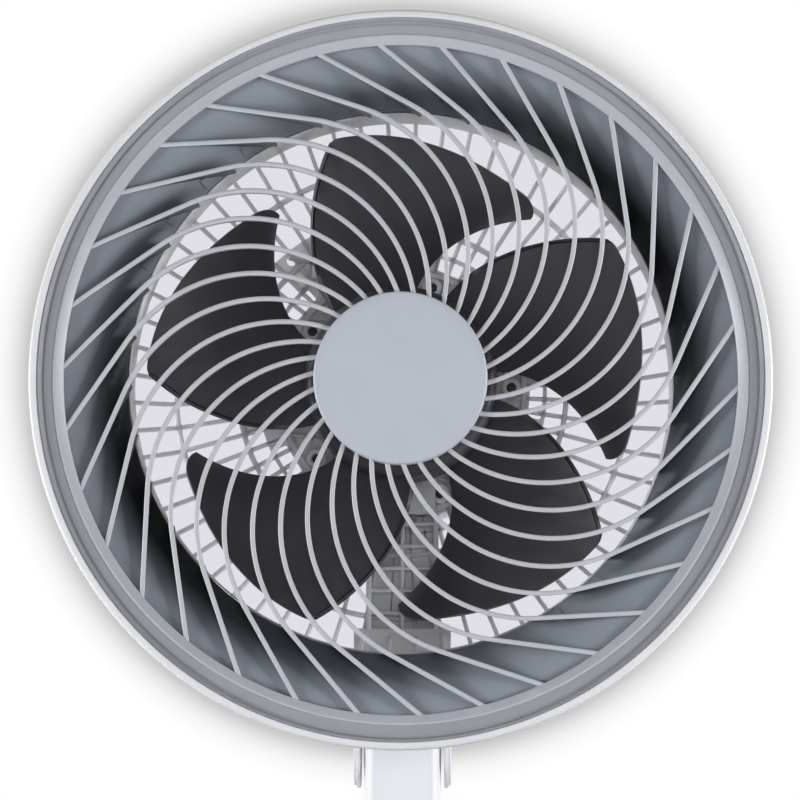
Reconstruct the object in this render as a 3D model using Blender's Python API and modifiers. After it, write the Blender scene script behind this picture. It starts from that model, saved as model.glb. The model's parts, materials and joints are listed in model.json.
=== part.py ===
"""Table air circulator with a round tilting head on a slim swivelling column and a round base.

Metres, +Z up. The origin is the centre of the base on the surface the fan stands on, and the fan
blows towards -Y. The column turns about Z, the head tilts about the pin at the top of the column,
and the impeller spins about the head's own axis.

Shapes of the head are written as (radius, depth): depth is measured backwards from the plane of
the housing's front lip. Shapes of the base and column are written as (radius, height).
"""

import math

import bmesh
import bpy
from mathutils import Matrix, Vector

MM = 0.001
FULL_TURN = 2.0 * math.pi
GAP = 0.3 * MM                       # clearance between neighbouring pieces
MERGE = 0.01 * MM                    # distance below which points are one point

# ---- overall layout -------------------------------------------------------------------------
AXIS_HEIGHT = 215.0 * MM             # fan axis above the table
FRONT_Y = -56.0 * MM                 # plane of the housing's front lip
PIN_BELOW_AXIS = 115.0 * MM          # tilt pin, straight below the fan axis
PIN_HEIGHT = AXIS_HEIGHT - PIN_BELOW_AXIS

# ---- head housing ---------------------------------------------------------------------------
HEAD_RADIUS = 130.0 * MM
HOUSING_WALL = 2.2 * MM
HOUSING_DEPTH = 40.0 * MM
HOUSING_STRAIGHT = 14.0 * MM         # depth at which the outer wall starts to curve in
LIP_WIDTH = 2.7 * MM                 # front lip, seen from the front
LIP_DEPTH = 3.0 * MM

# ---- duct -----------------------------------------------------------------------------------
THROAT_RADIUS = 96.8 * MM
THROAT_DEPTH = 12.0 * MM
CONE_FRONT_DEPTH = 6.0 * MM
DUCT_WALL = 1.8 * MM
DUCT_REAR_DEPTH = 36.0 * MM

# ---- front grille ---------------------------------------------------------------------------
VANE_COUNT = 34
VANE_WIDTH = 2.0 * MM
VANE_DEPTH = 4.5 * MM                # inside the throat
VANE_ARC_RADIUS = 54.5 * MM          # each vane starts as an arc ...
VANE_ARC_CENTRE = 53.6 * MM          # ... whose centre is this far from the fan axis
VANE_PHASE = math.radians(82.5)      # direction of the first vane's arc centre
GROOVE_WIDTH = 1.0 * MM              # between the housing lip and the grille rim
RIM_RING_WIDTH = 4.8 * MM            # flat grey ring
RIM_BAND_WIDTH = 3.5 * MM            # sloping band inside it
RIM_DEPTH = 2.2 * MM                 # front of the flat ring
RIM_THICKNESS = 3.0 * MM
BAND_INNER_DEPTH = 4.0 * MM          # inner edge of the band, where the vanes start
BAND_INNER_THICKNESS = 1.7 * MM
BOSS_RADIUS = 30.6 * MM
BOSS_DEPTH = 7.0 * MM
BOSS_THICKNESS = 3.0 * MM
CAP_RADIUS = 30.4 * MM
CAP_THICKNESS = 1.7 * MM
CAP_EDGE = 0.6 * MM

# ---- impeller -------------------------------------------------------------------------------
BLADE_COUNT = 5
BLADE_THICKNESS = 1.8 * MM
HUB_RADIUS = 34.0 * MM
HUB_WALL = 2.0 * MM
HUB_FRONT_DEPTH = 16.0 * MM
HUB_REAR_DEPTH = 46.0 * MM
HUB_BEVEL = 3.0 * MM
HUB_BOSS_RADIUS = 6.5 * MM
BLADE_TIP_CLEARANCE = 6.5 * MM       # between the front tip corner and the duct
BLADE_REAR_SETBACK = 7.1 * MM        # how much shorter the rear tip corner is
ROOT_FRONT_ANGLE = math.radians(134.1)
ROOT_REAR_ANGLE = math.radians(83.8)
TIP_FRONT_ANGLE = math.radians(106.6)
TIP_REAR_ANGLE = math.radians(53.0)
ROOT_FRONT_DEPTH = 21.0 * MM
ROOT_REAR_DEPTH = 43.5 * MM
TIP_FRONT_DEPTH = 18.0 * MM
TIP_REAR_DEPTH = 45.0 * MM

# ---- rear grille ----------------------------------------------------------------------------
RIB_COUNT = 60
RIB_WIDTH = 1.6 * MM
RIB_THICKNESS = 2.5 * MM
REAR_FLAT_DEPTH = 53.0 * MM
REAR_PLATE_RADIUS = 45.0 * MM
REAR_RING_INNER = 59.5 * MM
REAR_RING_WIDTH = 2.0 * MM
REAR_SLOPE_WIDTH = 13.9 * MM         # sloping side, from the flat to the edge
REAR_EDGE_STEP = 0.6 * MM            # the edge starts this far outside the duct
REAR_EDGE_WIDTH = 5.3 * MM
REAR_SHAFT_HOLE = 8.0 * MM

# ---- motor ----------------------------------------------------------------------------------
SHAFT_RADIUS = 3.0 * MM
SHAFT_FRONT_DEPTH = 12.0 * MM
MOTOR_RADIUS = 28.0 * MM
MOTOR_LENGTH = 25.0 * MM
BELL_WALL = 2.2 * MM
BEARING_RADIUS = 6.5 * MM
BEARING_WIDTH = 4.0 * MM
ROTOR_RADIUS = 12.0 * MM
STATOR_LENGTH = 10.0 * MM
STATOR_BORE = 12.8 * MM
WINDING_OUTER = 24.0 * MM
WINDING_LENGTH = 3.5 * MM
NUT_RADIUS = 10.0 * MM
NUT_LENGTH = 5.0 * MM

# ---- bracket, pod and tilt joint ------------------------------------------------------------
BRACKET_THICKNESS = 4.0 * MM
BRACKET_RADIUS = 40.0 * MM
ARM_WIDTH = 26.0 * MM
ARM_THICKNESS = 9.0 * MM
POD_RADIUS = 46.0 * MM
POD_BACK_RADIUS = 37.0 * MM
POD_WALL = 2.0 * MM
POD_DEPTH = 38.0 * MM                # front edge to back
CHEEK_THICKNESS = 2.5 * MM
CHEEK_BELOW_PIN = 28.0 * MM
CHEEK_ABOVE_PIN = 29.0 * MM
CHEEK_FRONT_ABOVE_PIN = 19.0 * MM    # the cheek's front edge is cut back above this
CHEEK_FRONT = 9.0 * MM
CHEEK_BACK = 10.0 * MM
WASHER_THICKNESS = 0.6 * MM
WASHER_RADIUS = 8.0 * MM
PIN_RADIUS = 3.0 * MM
PIN_HEAD_RADIUS = 5.5 * MM
PIN_HEAD_LENGTH = 2.0 * MM

# ---- column ---------------------------------------------------------------------------------
COLUMN_WIDTH = 27.5 * MM
COLUMN_DEPTH = 22.0 * MM
COLUMN_CORNER = 5.0 * MM
COLUMN_WALL = 2.0 * MM
SHELL_TOP_BELOW_PIN = 10.0 * MM
PLUG_LENGTH = 8.0 * MM
SWIVEL_TUBE_RADIUS = 8.0 * MM
SWIVEL_BORE = 5.0 * MM
BEARING_RING_HEIGHT = 1.3 * MM

# ---- base -----------------------------------------------------------------------------------
BASE_RADIUS = 84.0 * MM
BASE_HEIGHT = 27.0 * MM
BASE_WALL = 2.2 * MM
BASE_SHOULDER = 9.0 * MM             # radius of the rounded shoulder
BASE_SHELL_BOTTOM = 3.5 * MM
FOOT_RADIUS = 7.0 * MM
FOOT_HEIGHT = 2.2 * MM
FOOT_CIRCLE = 64.0 * MM
FOOT_COUNT = 4
FLOOR_PLATE_THICKNESS = 2.5 * MM
WEIGHT_OUTER = 76.0 * MM
WEIGHT_INNER = 34.0 * MM
WEIGHT_THICKNESS = 4.0 * MM
WEIGHT_SCREW_COUNT = 3
WEIGHT_SCREW_CIRCLE = 56.0 * MM

# ---- oscillation drive ----------------------------------------------------------------------
GEAR_MODULE = 1.5 * MM
GEAR_TEETH = 32
PINION_TEETH = 8
GEAR_BACKLASH = 0.3 * MM             # gap on each side of a tooth
GEAR_THICKNESS = 4.0 * MM
DRIVE_RADIUS = 20.0 * MM
DRIVE_HEIGHT = 4.6 * MM

# ---- controls -------------------------------------------------------------------------------
BUTTON_NAMES = ("button_power", "button_speed", "button_swing", "button_timer")
BUTTON_RADIUS = 5.5 * MM
BUTTON_PITCH = 17.0 * MM
BUTTON_ROW_Y = -56.0 * MM
BUTTON_PROUD = 1.3 * MM
BUTTON_TRAVEL = 1.0 * MM
BUTTON_SIZE = 6.8 * MM               # height of a button from its flange to its top
LENS_WIDTH = 30.0 * MM
LENS_LENGTH = 9.0 * MM
LENS_Y = -38.0 * MM
BOARD_WIDTH = 72.0 * MM
BOARD_LENGTH = 26.0 * MM
BOARD_THICKNESS = 1.6 * MM
INLET_WIDTH = 11.0 * MM
INLET_HEIGHT = 9.0 * MM
INLET_LENGTH = 13.0 * MM
INLET_BORE = 3.4 * MM

# ---- screws ---------------------------------------------------------------------------------
SCREW_RADIUS = 1.5 * MM
SCREW_HEAD_RADIUS = 2.8 * MM
SCREW_HEAD = 1.5 * MM
SCREW_SIDES = 8
MOTOR_SCREW_COUNT = 3
MOTOR_SCREW_CIRCLE = 20.0 * MM
MOTOR_SCREW_PHASE = math.radians(-48.0)
POD_SCREW_SPACING = 33.0 * MM        # either side of the fan axis

# ---- sizes that follow from the ones above --------------------------------------------------
LIP_INNER = HEAD_RADIUS - LIP_WIDTH
RIM_OUTER = LIP_INNER - GROOVE_WIDTH
BAND_OUTER = RIM_OUTER - RIM_RING_WIDTH
BAND_INNER = BAND_OUTER - RIM_BAND_WIDTH
HOUSING_INNER = HEAD_RADIUS - HOUSING_WALL
REAR_EDGE_INNER = THROAT_RADIUS + REAR_EDGE_STEP
REAR_EDGE_OUTER = REAR_EDGE_INNER + REAR_EDGE_WIDTH
REAR_FLAT_RADIUS = REAR_EDGE_INNER - REAR_SLOPE_WIDTH
REAR_RING_RADII = (REAR_RING_INNER, REAR_FLAT_RADIUS - REAR_RING_WIDTH / 2)
REAR_EDGE_DEPTH = DUCT_REAR_DEPTH + GAP
BLADE_FRONT_TIP = THROAT_RADIUS - BLADE_TIP_CLEARANCE
BLADE_REAR_TIP = BLADE_FRONT_TIP - BLADE_REAR_SETBACK
BRACKET_DEPTH = REAR_FLAT_DEPTH + RIB_THICKNESS + 2 * GAP
MOTOR_DEPTH = BRACKET_DEPTH + BRACKET_THICKNESS + GAP
MOTOR_BACK_DEPTH = MOTOR_DEPTH + MOTOR_LENGTH
POD_BACK_DEPTH = BRACKET_DEPTH + POD_DEPTH
COLUMN_TOP = PIN_HEIGHT - SHELL_TOP_BELOW_PIN
PLUG_CHAMFER = COLUMN_CORNER - COLUMN_WALL
COLUMN_BOTTOM = BASE_HEIGHT + BEARING_RING_HEIGHT + 2 * GAP
CHEEK_INNER = COLUMN_WIDTH / 2 + WASHER_THICKNESS + 2 * GAP
CHEEK_OUTER = CHEEK_INNER + CHEEK_THICKNESS
FLOOR_PLATE_BOTTOM = FOOT_HEIGHT + GAP
FLOOR_PLATE_TOP = FLOOR_PLATE_BOTTOM + FLOOR_PLATE_THICKNESS
WEIGHT_TOP = FLOOR_PLATE_TOP + GAP + WEIGHT_THICKNESS
GEAR_BOTTOM = WEIGHT_TOP + GAP + DRIVE_HEIGHT + GAP
GEAR_PITCH_RADIUS = GEAR_MODULE * GEAR_TEETH / 2
PINION_PITCH_RADIUS = GEAR_MODULE * PINION_TEETH / 2
GEAR_CENTRES = GEAR_PITCH_RADIUS + PINION_PITCH_RADIUS + GEAR_BACKLASH / 2
BUTTON_TOP = BASE_HEIGHT + BUTTON_PROUD
BUTTON_FLANGE = BUTTON_RADIUS + 1.2 * MM

WHITE = (0.86, 0.87, 0.88)
GRILLE_GREY = (0.47, 0.50, 0.53)
FUNNEL_GREY = (0.20, 0.22, 0.24)
CHARCOAL = (0.035, 0.036, 0.042)
LATTICE_GREY = (0.42, 0.41, 0.43)
BLACK = (0.015, 0.015, 0.016)
STEEL = (0.55, 0.56, 0.58)
COPPER = (0.72, 0.35, 0.18)
BOARD_GREEN = (0.02, 0.16, 0.07)


# ---- scene and helpers ----------------------------------------------------------------------
for old_object in list(bpy.data.objects):
    bpy.data.objects.remove(old_object, do_unlink=True)

MODEL = bpy.data.collections.new("air_circulator")
TOOLS = bpy.data.collections.new("cutters")
bpy.context.scene.collection.children.link(MODEL)
bpy.context.scene.collection.children.link(TOOLS)


def joint_empty(name, parent, location, tip=0.0):
    """An empty on a joint's axis; tip turns it about X."""
    empty = bpy.data.objects.new(name, None)
    empty.location = location
    empty.rotation_euler = (tip, 0.0, 0.0)
    empty.parent = parent
    MODEL.objects.link(empty)
    return empty


SWIVEL = joint_empty("swivel_axis", None, (0.0, 0.0, 0.0))
TILT = joint_empty("tilt_axis", SWIVEL, (0.0, 0.0, PIN_HEIGHT))
# The fan frame's own Z points out of the front of the head, so its X and Y are the fan's face.
FAN = joint_empty("fan_axis", TILT, (0.0, FRONT_Y, PIN_BELOW_AXIS), math.pi / 2)
DRIVE = joint_empty("pinion_axis", None, (0.0, GEAR_CENTRES, GEAR_BOTTOM))


def material(name, colour, roughness, metallic=0.0):
    """A plain material for one piece."""
    made = bpy.data.materials.new(name)
    made.use_nodes = True
    shader = made.node_tree.nodes["Principled BSDF"]
    shader.inputs["Base Color"].default_value = (*colour, 1.0)
    shader.inputs["Roughness"].default_value = roughness
    shader.inputs["Metallic"].default_value = metallic
    return made


def place(name, mesh, look, parent=None, location=(0.0, 0.0, 0.0), rotation=(0.0, 0.0, 0.0)):
    """Put a mesh in the model under its parent; look is (colour, roughness, metallic)."""
    piece = bpy.data.objects.new(name, mesh)
    piece.parent = parent
    piece.location = location
    piece.rotation_euler = rotation
    mesh.materials.append(material(name, *look))
    MODEL.objects.link(piece)
    return piece


def helper(name, mesh, parent=None, location=(0.0, 0.0, 0.0), rotation=(0.0, 0.0, 0.0)):
    """A hidden solid that is cut from, or joined to, a piece."""
    tool = bpy.data.objects.new(name, mesh)
    tool.parent = parent
    tool.location = location
    tool.rotation_euler = rotation
    tool.hide_render = True
    tool.display_type = "WIRE"
    TOOLS.objects.link(tool)
    return tool


def boolean(piece, tool, operation):
    """Cut a tool from a piece (DIFFERENCE) or join it on (UNION)."""
    step = piece.modifiers.new(operation.lower(), "BOOLEAN")
    step.operation = operation
    step.solver = "EXACT"
    step.object = tool


def smooth(mesh, angle=35.0):
    """Shade a round mesh smooth, with its sharp edges kept."""
    mesh.shade_smooth()
    mesh.set_sharp_from_angle(angle=math.radians(angle))


def profile_mesh(name, profile, closed):
    """The edges of a turned profile of (radius, z) points."""
    points = [(radius, 0.0, z) for radius, z in profile]
    edges = [(i, i + 1) for i in range(len(points) - 1)]
    if closed:
        edges.append((len(points) - 1, 0))
    mesh = bpy.data.meshes.new(name)
    mesh.from_pydata(points, edges, [])
    return mesh


def add_screw(piece, steps):
    """Turn a profile through a full circle."""
    turn = piece.modifiers.new("turn", "SCREW")
    turn.angle = FULL_TURN
    turn.steps = steps
    turn.render_steps = steps
    turn.axis = "Z"
    turn.use_merge_vertices = True
    turn.merge_threshold = MERGE
    turn.use_smooth_shade = True


def turned(name, profile, look, steps, parent=None, location=(0.0, 0.0, 0.0),
           rotation=(0.0, 0.0, 0.0)):
    """A turned piece. The profile runs down its outer side; one that starts on the axis is solid."""
    closed = profile[0][0] > MERGE
    piece = place(name, profile_mesh(name, profile, closed), look, parent, location, rotation)
    add_screw(piece, steps)
    return piece


def turned_tool(name, profile, steps, parent=None, location=(0.0, 0.0, 0.0)):
    """A turned helper, for a union or a cut."""
    closed = profile[0][0] > MERGE
    tool = helper(name, profile_mesh(name, profile, closed), parent, location)
    add_screw(tool, steps)
    return tool


def by_depth(profile):
    """Turn (radius, depth) points into (radius, z) points of the fan frame."""
    return [(radius, -depth) for radius, depth in profile]


def rod(radius, bottom, top):
    """Profile of a plain rod on the axis."""
    return [(0.0, top), (radius, top), (radius, bottom), (0.0, bottom)]


def ring(inner, outer, bottom, top):
    """Profile of a plain ring."""
    return [(inner, top), (outer, top), (outer, bottom), (inner, bottom)]


def cylinders_mesh(name, centres, radius, bottom, top, segments=16):
    """One mesh of separate upright cylinders at (x, y) centres."""
    bm = bmesh.new()
    for x, y in centres:
        middle = Matrix.Translation((x, y, (bottom + top) / 2))
        bmesh.ops.create_cone(bm, cap_ends=True, segments=segments, radius1=radius, radius2=radius,
                              depth=top - bottom, matrix=middle)
    mesh = bpy.data.meshes.new(name)
    bm.to_mesh(mesh)
    bm.free()
    return mesh


def box_mesh(name, boxes, bevel=0.0):
    """One mesh of separate boxes, each ((x0, y0, z0), (x1, y1, z1))."""
    bm = bmesh.new()
    for low, high in boxes:
        low, high = Vector(low), Vector(high)
        size = high - low
        shape = Matrix.Translation((low + high) / 2) @ Matrix.Diagonal((*size, 1.0))
        bmesh.ops.create_cube(bm, size=1.0, matrix=shape)
    if bevel > 0.0:
        bmesh.ops.bevel(bm, geom=bm.edges[:], offset=bevel, segments=1, affect="EDGES")
    mesh = bpy.data.meshes.new(name)
    bm.to_mesh(mesh)
    bm.free()
    return mesh


def prism_mesh(name, outline, thickness):
    """A flat outline made solid, centred on its own plane, from a filled curve."""
    curve = bpy.data.curves.new(name, "CURVE")
    curve.dimensions = "2D"
    curve.fill_mode = "BOTH"
    curve.extrude = thickness / 2
    spline = curve.splines.new("POLY")
    spline.points.add(len(outline) - 1)
    for point, (x, y) in zip(spline.points, outline):
        point.co = (x, y, 0.0, 1.0)
    spline.use_cyclic_u = True
    drawn = bpy.data.objects.new(name, curve)
    bpy.context.scene.collection.objects.link(drawn)
    graph = bpy.context.evaluated_depsgraph_get()
    mesh = bpy.data.meshes.new_from_object(drawn.evaluated_get(graph))
    bpy.data.objects.remove(drawn, do_unlink=True)
    bm = bmesh.new()
    bm.from_mesh(mesh)
    bmesh.ops.remove_doubles(bm, verts=bm.verts[:], dist=MERGE)
    bmesh.ops.recalc_face_normals(bm, faces=bm.faces[:])
    bm.to_mesh(mesh)
    bm.free()
    return mesh


def arc(centre, radius, start, end, steps):
    """Points along a circular arc; angles in radians."""
    return [(centre[0] + radius * math.cos(start + (end - start) * i / steps),
             centre[1] + radius * math.sin(start + (end - start) * i / steps))
            for i in range(steps + 1)]


def rounded_rectangle(width, depth, corner, steps=4):
    """Outline of a rectangle with round corners, centred on the origin, counter-clockwise."""
    x, y = width / 2 - corner, depth / 2 - corner
    quarter = math.pi / 2
    points = []
    for turn, (cx, cy) in enumerate(((x, y), (-x, y), (-x, -y), (x, -y))):
        points += arc((cx, cy), corner, turn * quarter, (turn + 1) * quarter, steps)
    return points


def screw_profile(length):
    """Pan-head screw along Z with its seat at z = 0 and its shank towards -Z."""
    edge = SCREW_HEAD / 3
    return [(0.0, SCREW_HEAD), (SCREW_HEAD_RADIUS - edge, SCREW_HEAD),
            (SCREW_HEAD_RADIUS, SCREW_HEAD - edge), (SCREW_HEAD_RADIUS, 0.0),
            (SCREW_RADIUS, 0.0), (SCREW_RADIUS, -length), (0.0, -length)]


def on_circle(radius, angle):
    """A point on a circle about the origin."""
    return radius * math.cos(angle), radius * math.sin(angle)


def finish(colour, roughness, metallic=0.0):
    """The look of a piece, as place() takes it."""
    return colour, roughness, metallic


WHITE_PLASTIC = finish(WHITE, 0.42)
GREY_PLASTIC = finish(GRILLE_GREY, 0.45)
METAL = finish(STEEL, 0.35, 1.0)


# ---- front grille ---------------------------------------------------------------------------
def vane_turn(radius):
    """How far a vane has turned at a radius: an arc as far as the throat, then its tangent."""
    def on_arc(r):
        cosine = (r ** 2 + VANE_ARC_CENTRE ** 2 - VANE_ARC_RADIUS ** 2) / (2 * r * VANE_ARC_CENTRE)
        return VANE_PHASE - math.acos(cosine)
    if radius <= THROAT_RADIUS:
        return on_arc(radius)
    reach = (THROAT_RADIUS ** 2 - VANE_ARC_CENTRE ** 2 + VANE_ARC_RADIUS ** 2) / (2 * VANE_ARC_RADIUS)
    return on_arc(THROAT_RADIUS) + math.acos(reach / radius) - math.acos(reach / THROAT_RADIUS)


def vane_half_angle(radius):
    """Half of the angle that a vane's width covers at a radius, allowing for its slant."""
    step = 0.1 * MM
    slope = radius * (vane_turn(radius + step) - vane_turn(radius - step)) / (2 * step)
    return VANE_WIDTH / 2 * math.hypot(1.0, slope) / radius


def vane_front_depth(radius):
    """The vanes' front edges dish slightly from the rim to the boss."""
    share = (radius - BOSS_RADIUS) / (BAND_INNER - BOSS_RADIUS)
    return BOSS_DEPTH + (BAND_INNER_DEPTH - BOSS_DEPTH) * share


def cone_depth(radius):
    """Depth of the duct's funnel surface."""
    share = (BAND_INNER - radius) / (BAND_INNER - THROAT_RADIUS)
    return CONE_FRONT_DEPTH + (THROAT_DEPTH - CONE_FRONT_DEPTH) * share


def front_grille():
    """Rim, vanes and boss: one open sheet on a spiral grid, made solid with varying thickness."""
    fin_radii = [THROAT_RADIUS + GAP, (THROAT_RADIUS + BAND_INNER) / 2]
    rib_radii = [BOSS_RADIUS + share * (THROAT_RADIUS - 2 * MM - BOSS_RADIUS)
                 for share in (0.25, 0.5, 0.75, 1.0)]
    stations = [(BOSS_RADIUS, BOSS_DEPTH, BOSS_THICKNESS)]
    stations += [(r, vane_front_depth(r), VANE_DEPTH) for r in rib_radii]
    stations += [(r, vane_front_depth(r), cone_depth(r) - GAP - vane_front_depth(r)) for r in fin_radii]
    stations += [(BAND_INNER, BAND_INNER_DEPTH, BAND_INNER_THICKNESS)]
    deepest = max(thickness for _, _, thickness in stations)

    bm = bmesh.new()
    weights = bm.verts.layers.deform.verify()
    pitch = FULL_TURN / VANE_COUNT

    def vertex(radius, depth, thickness, angle):
        x, y = on_circle(radius, angle)
        made = bm.verts.new((x, y, -depth))
        made[weights][0] = thickness / deepest
        return made

    def full_ring(radius, depth, thickness):
        """Three points per vane: its two edges and the middle of the gap after it."""
        half = vane_half_angle(min(radius, BAND_INNER))
        turn = vane_turn(min(radius, BAND_INNER))
        points = []
        for k in range(VANE_COUNT):
            for offset in (-half, half, pitch / 2):
                points.append(vertex(radius, depth, thickness, k * pitch + turn + offset))
        return points

    boss = full_ring(*stations[0])
    band = full_ring(*stations[-1])
    ring_inner = full_ring(BAND_OUTER, RIM_DEPTH, RIM_THICKNESS)
    ring_outer = full_ring(RIM_OUTER, RIM_DEPTH, RIM_THICKNESS)
    bm.faces.new(boss)
    count = len(band)
    for inner, outer in ((band, ring_inner), (ring_inner, ring_outer)):
        for i in range(count):
            j = (i + 1) % count
            bm.faces.new((inner[i], outer[i], outer[j], inner[j]))
    for k in range(VANE_COUNT):
        right, left = boss[3 * k], boss[3 * k + 1]
        for radius, depth, thickness in stations[1:-1]:
            half, turn = vane_half_angle(radius), vane_turn(radius)
            new_right = vertex(radius, depth, thickness, k * pitch + turn - half)
            new_left = vertex(radius, depth, thickness, k * pitch + turn + half)
            bm.faces.new((right, new_right, new_left, left))
            right, left = new_right, new_left
        bm.faces.new((right, band[3 * k], band[3 * k + 1], left))
    mesh = bpy.data.meshes.new("front_grille")
    bm.to_mesh(mesh)
    bm.free()

    grille = place("front_grille", mesh, GREY_PLASTIC, FAN)
    grille.vertex_groups.new(name="thickness")
    solid = grille.modifiers.new("thickness", "SOLIDIFY")
    solid.thickness = deepest
    solid.offset = -1.0
    solid.vertex_group = "thickness"
    return grille


def grille_cap():
    """Plain disc on the front of the boss."""
    back = BOSS_DEPTH - GAP
    front = back - CAP_THICKNESS
    profile = [(0.0, front), (CAP_RADIUS - CAP_EDGE, front), (CAP_RADIUS, front + CAP_EDGE),
               (CAP_RADIUS, back), (0.0, back)]
    return turned("grille_cap", by_depth(profile), finish((0.52, 0.56, 0.60), 0.4), 48, FAN)


# ---- housing and duct -----------------------------------------------------------------------
def head_housing():
    """White ring shell that curves in behind the head, with a flange round the rear grille."""
    opening = REAR_EDGE_OUTER + GAP
    shoulder = opening + 3.0 * MM
    outer = arc((shoulder, HOUSING_STRAIGHT), 1.0, 0.0, math.pi / 2, 3)
    outer_x, outer_y = HEAD_RADIUS - shoulder, HOUSING_DEPTH - HOUSING_STRAIGHT
    curve_out = [(shoulder + (x - shoulder) * outer_x, HOUSING_STRAIGHT + (y - HOUSING_STRAIGHT) * outer_y)
                 for x, y in outer]
    inner_x, inner_y = outer_x - HOUSING_WALL, outer_y - HOUSING_WALL
    curve_in = [(shoulder + (x - shoulder) * inner_x, HOUSING_STRAIGHT + (y - HOUSING_STRAIGHT) * inner_y)
                for x, y in reversed(outer)]
    edge = 1.1 * MM
    profile = [(LIP_INNER + edge / 2, 0.0), (HEAD_RADIUS - edge, 0.0), (HEAD_RADIUS, edge)]
    profile += curve_out
    profile += [(opening, HOUSING_DEPTH), (opening, HOUSING_DEPTH - HOUSING_WALL)]
    profile += curve_in
    profile += [(HOUSING_INNER, LIP_DEPTH), (LIP_INNER, LIP_DEPTH), (LIP_INNER, edge / 2)]
    return turned("head_housing", by_depth(profile), WHITE_PLASTIC, 48, FAN)


def duct_cone():
    """Funnel behind the outer part of the vanes, and the duct round the blade tips."""
    lip = HOUSING_INNER - GAP
    front = CONE_FRONT_DEPTH
    profile = [(lip, front), (lip, front + DUCT_WALL), (BAND_INNER, front + DUCT_WALL),
               (THROAT_RADIUS + DUCT_WALL, THROAT_DEPTH + DUCT_WALL),
               (THROAT_RADIUS + DUCT_WALL, DUCT_REAR_DEPTH), (THROAT_RADIUS, DUCT_REAR_DEPTH),
               (THROAT_RADIUS, THROAT_DEPTH), (BAND_INNER, front)]
    return turned("duct_cone", by_depth(profile), finish(FUNNEL_GREY, 0.5), 48, FAN)


# ---- rear grille ----------------------------------------------------------------------------
def rear_depth(radius):
    """Front surface of the rear grille: flat in the middle, sloping up to its edge."""
    if radius <= REAR_FLAT_RADIUS:
        return REAR_FLAT_DEPTH
    share = min(1.0, (radius - REAR_FLAT_RADIUS) / REAR_SLOPE_WIDTH)
    return REAR_FLAT_DEPTH + (REAR_EDGE_DEPTH - REAR_FLAT_DEPTH) * share


def rear_grille():
    """Plate, radial ribs and rings: one open sheet on a polar grid, made solid."""
    rings = [(radius - REAR_RING_WIDTH / 2, radius + REAR_RING_WIDTH / 2) for radius in REAR_RING_RADII]
    rings.append((REAR_EDGE_INNER, REAR_EDGE_OUTER))
    pitch = FULL_TURN / RIB_COUNT
    bm = bmesh.new()

    def circle(radius):
        """Two points per rib, one on each side of it."""
        half = RIB_WIDTH / 2 / radius
        points = []
        for k in range(RIB_COUNT):
            for offset in (-half, half):
                x, y = on_circle(radius, (k + 0.5) * pitch + offset)
                points.append(bm.verts.new((x, y, -rear_depth(radius))))
        return points

    previous = circle(REAR_PLATE_RADIUS)
    bm.faces.new(previous)
    count = len(previous)
    for inner_radius, outer_radius in rings:
        inner, outer = circle(inner_radius), circle(outer_radius)
        for i in range(0, count, 2):
            bm.faces.new((previous[i], inner[i], inner[i + 1], previous[i + 1]))
        for i in range(count):
            j = (i + 1) % count
            bm.faces.new((inner[i], outer[i], outer[j], inner[j]))
        previous = outer
    mesh = bpy.data.meshes.new("rear_grille")
    bm.to_mesh(mesh)
    bm.free()

    grille = place("rear_grille", mesh, finish(LATTICE_GREY, 0.5), FAN)
    solid = grille.modifiers.new("thickness", "SOLIDIFY")
    solid.thickness = RIB_THICKNESS
    solid.offset = -1.0
    front, back = -REAR_FLAT_DEPTH + 2 * MM, -REAR_FLAT_DEPTH - RIB_THICKNESS - 2 * MM
    hole = helper("shaft_hole", cylinders_mesh("shaft_hole", [(0.0, 0.0)], REAR_SHAFT_HOLE, back, front), FAN)
    boolean(grille, hole, "DIFFERENCE")
    return grille


# ---- impeller -------------------------------------------------------------------------------
def blade_angle(chord, span):
    """Direction of a point of the blade; chord runs from the rear edge to the front edge."""
    rear = ROOT_REAR_ANGLE + (TIP_REAR_ANGLE - ROOT_REAR_ANGLE) * span ** 1.25
    front = ROOT_FRONT_ANGLE + (TIP_FRONT_ANGLE - ROOT_FRONT_ANGLE) * span ** 1.1
    return rear + (front - rear) * chord


def blade_depth(chord, span):
    """Depth of a point of the blade, with a little camber."""
    rear = ROOT_REAR_DEPTH + (TIP_REAR_DEPTH - ROOT_REAR_DEPTH) * span
    front = ROOT_FRONT_DEPTH + (TIP_FRONT_DEPTH - ROOT_FRONT_DEPTH) * span
    camber = 3.0 * MM * math.sin(math.pi * chord)
    return rear + (front - rear) * chord - camber


def blade_radius(chord, span):
    """Radius of a point of the blade; the tip draws in smoothly from the front to the rear edge."""
    root = HUB_RADIUS - HUB_WALL / 2
    sweep = chord ** 2 * (3.0 - 2.0 * chord)
    tip = BLADE_REAR_TIP + (BLADE_FRONT_TIP - BLADE_REAR_TIP) * sweep
    return root + (tip - root) * span


def blades_mesh():
    """All blades in one mesh: an open sheet over (chord, span) for each."""
    chord_steps, span_steps = 6, 4
    bm = bmesh.new()
    for blade in range(BLADE_COUNT):
        spin = blade * FULL_TURN / BLADE_COUNT
        rows = []
        for i in range(chord_steps + 1):
            row = []
            for j in range(span_steps + 1):
                chord, span = i / chord_steps, j / span_steps
                x, y = on_circle(blade_radius(chord, span), blade_angle(chord, span) + spin)
                row.append(bm.verts.new((x, y, -blade_depth(chord, span))))
            rows.append(row)
        for i in range(chord_steps):
            for j in range(span_steps):
                bm.faces.new((rows[i][j], rows[i][j + 1], rows[i + 1][j + 1], rows[i + 1][j]))
    mesh = bpy.data.meshes.new("blades")
    bm.to_mesh(mesh)
    bm.free()
    return mesh


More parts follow.
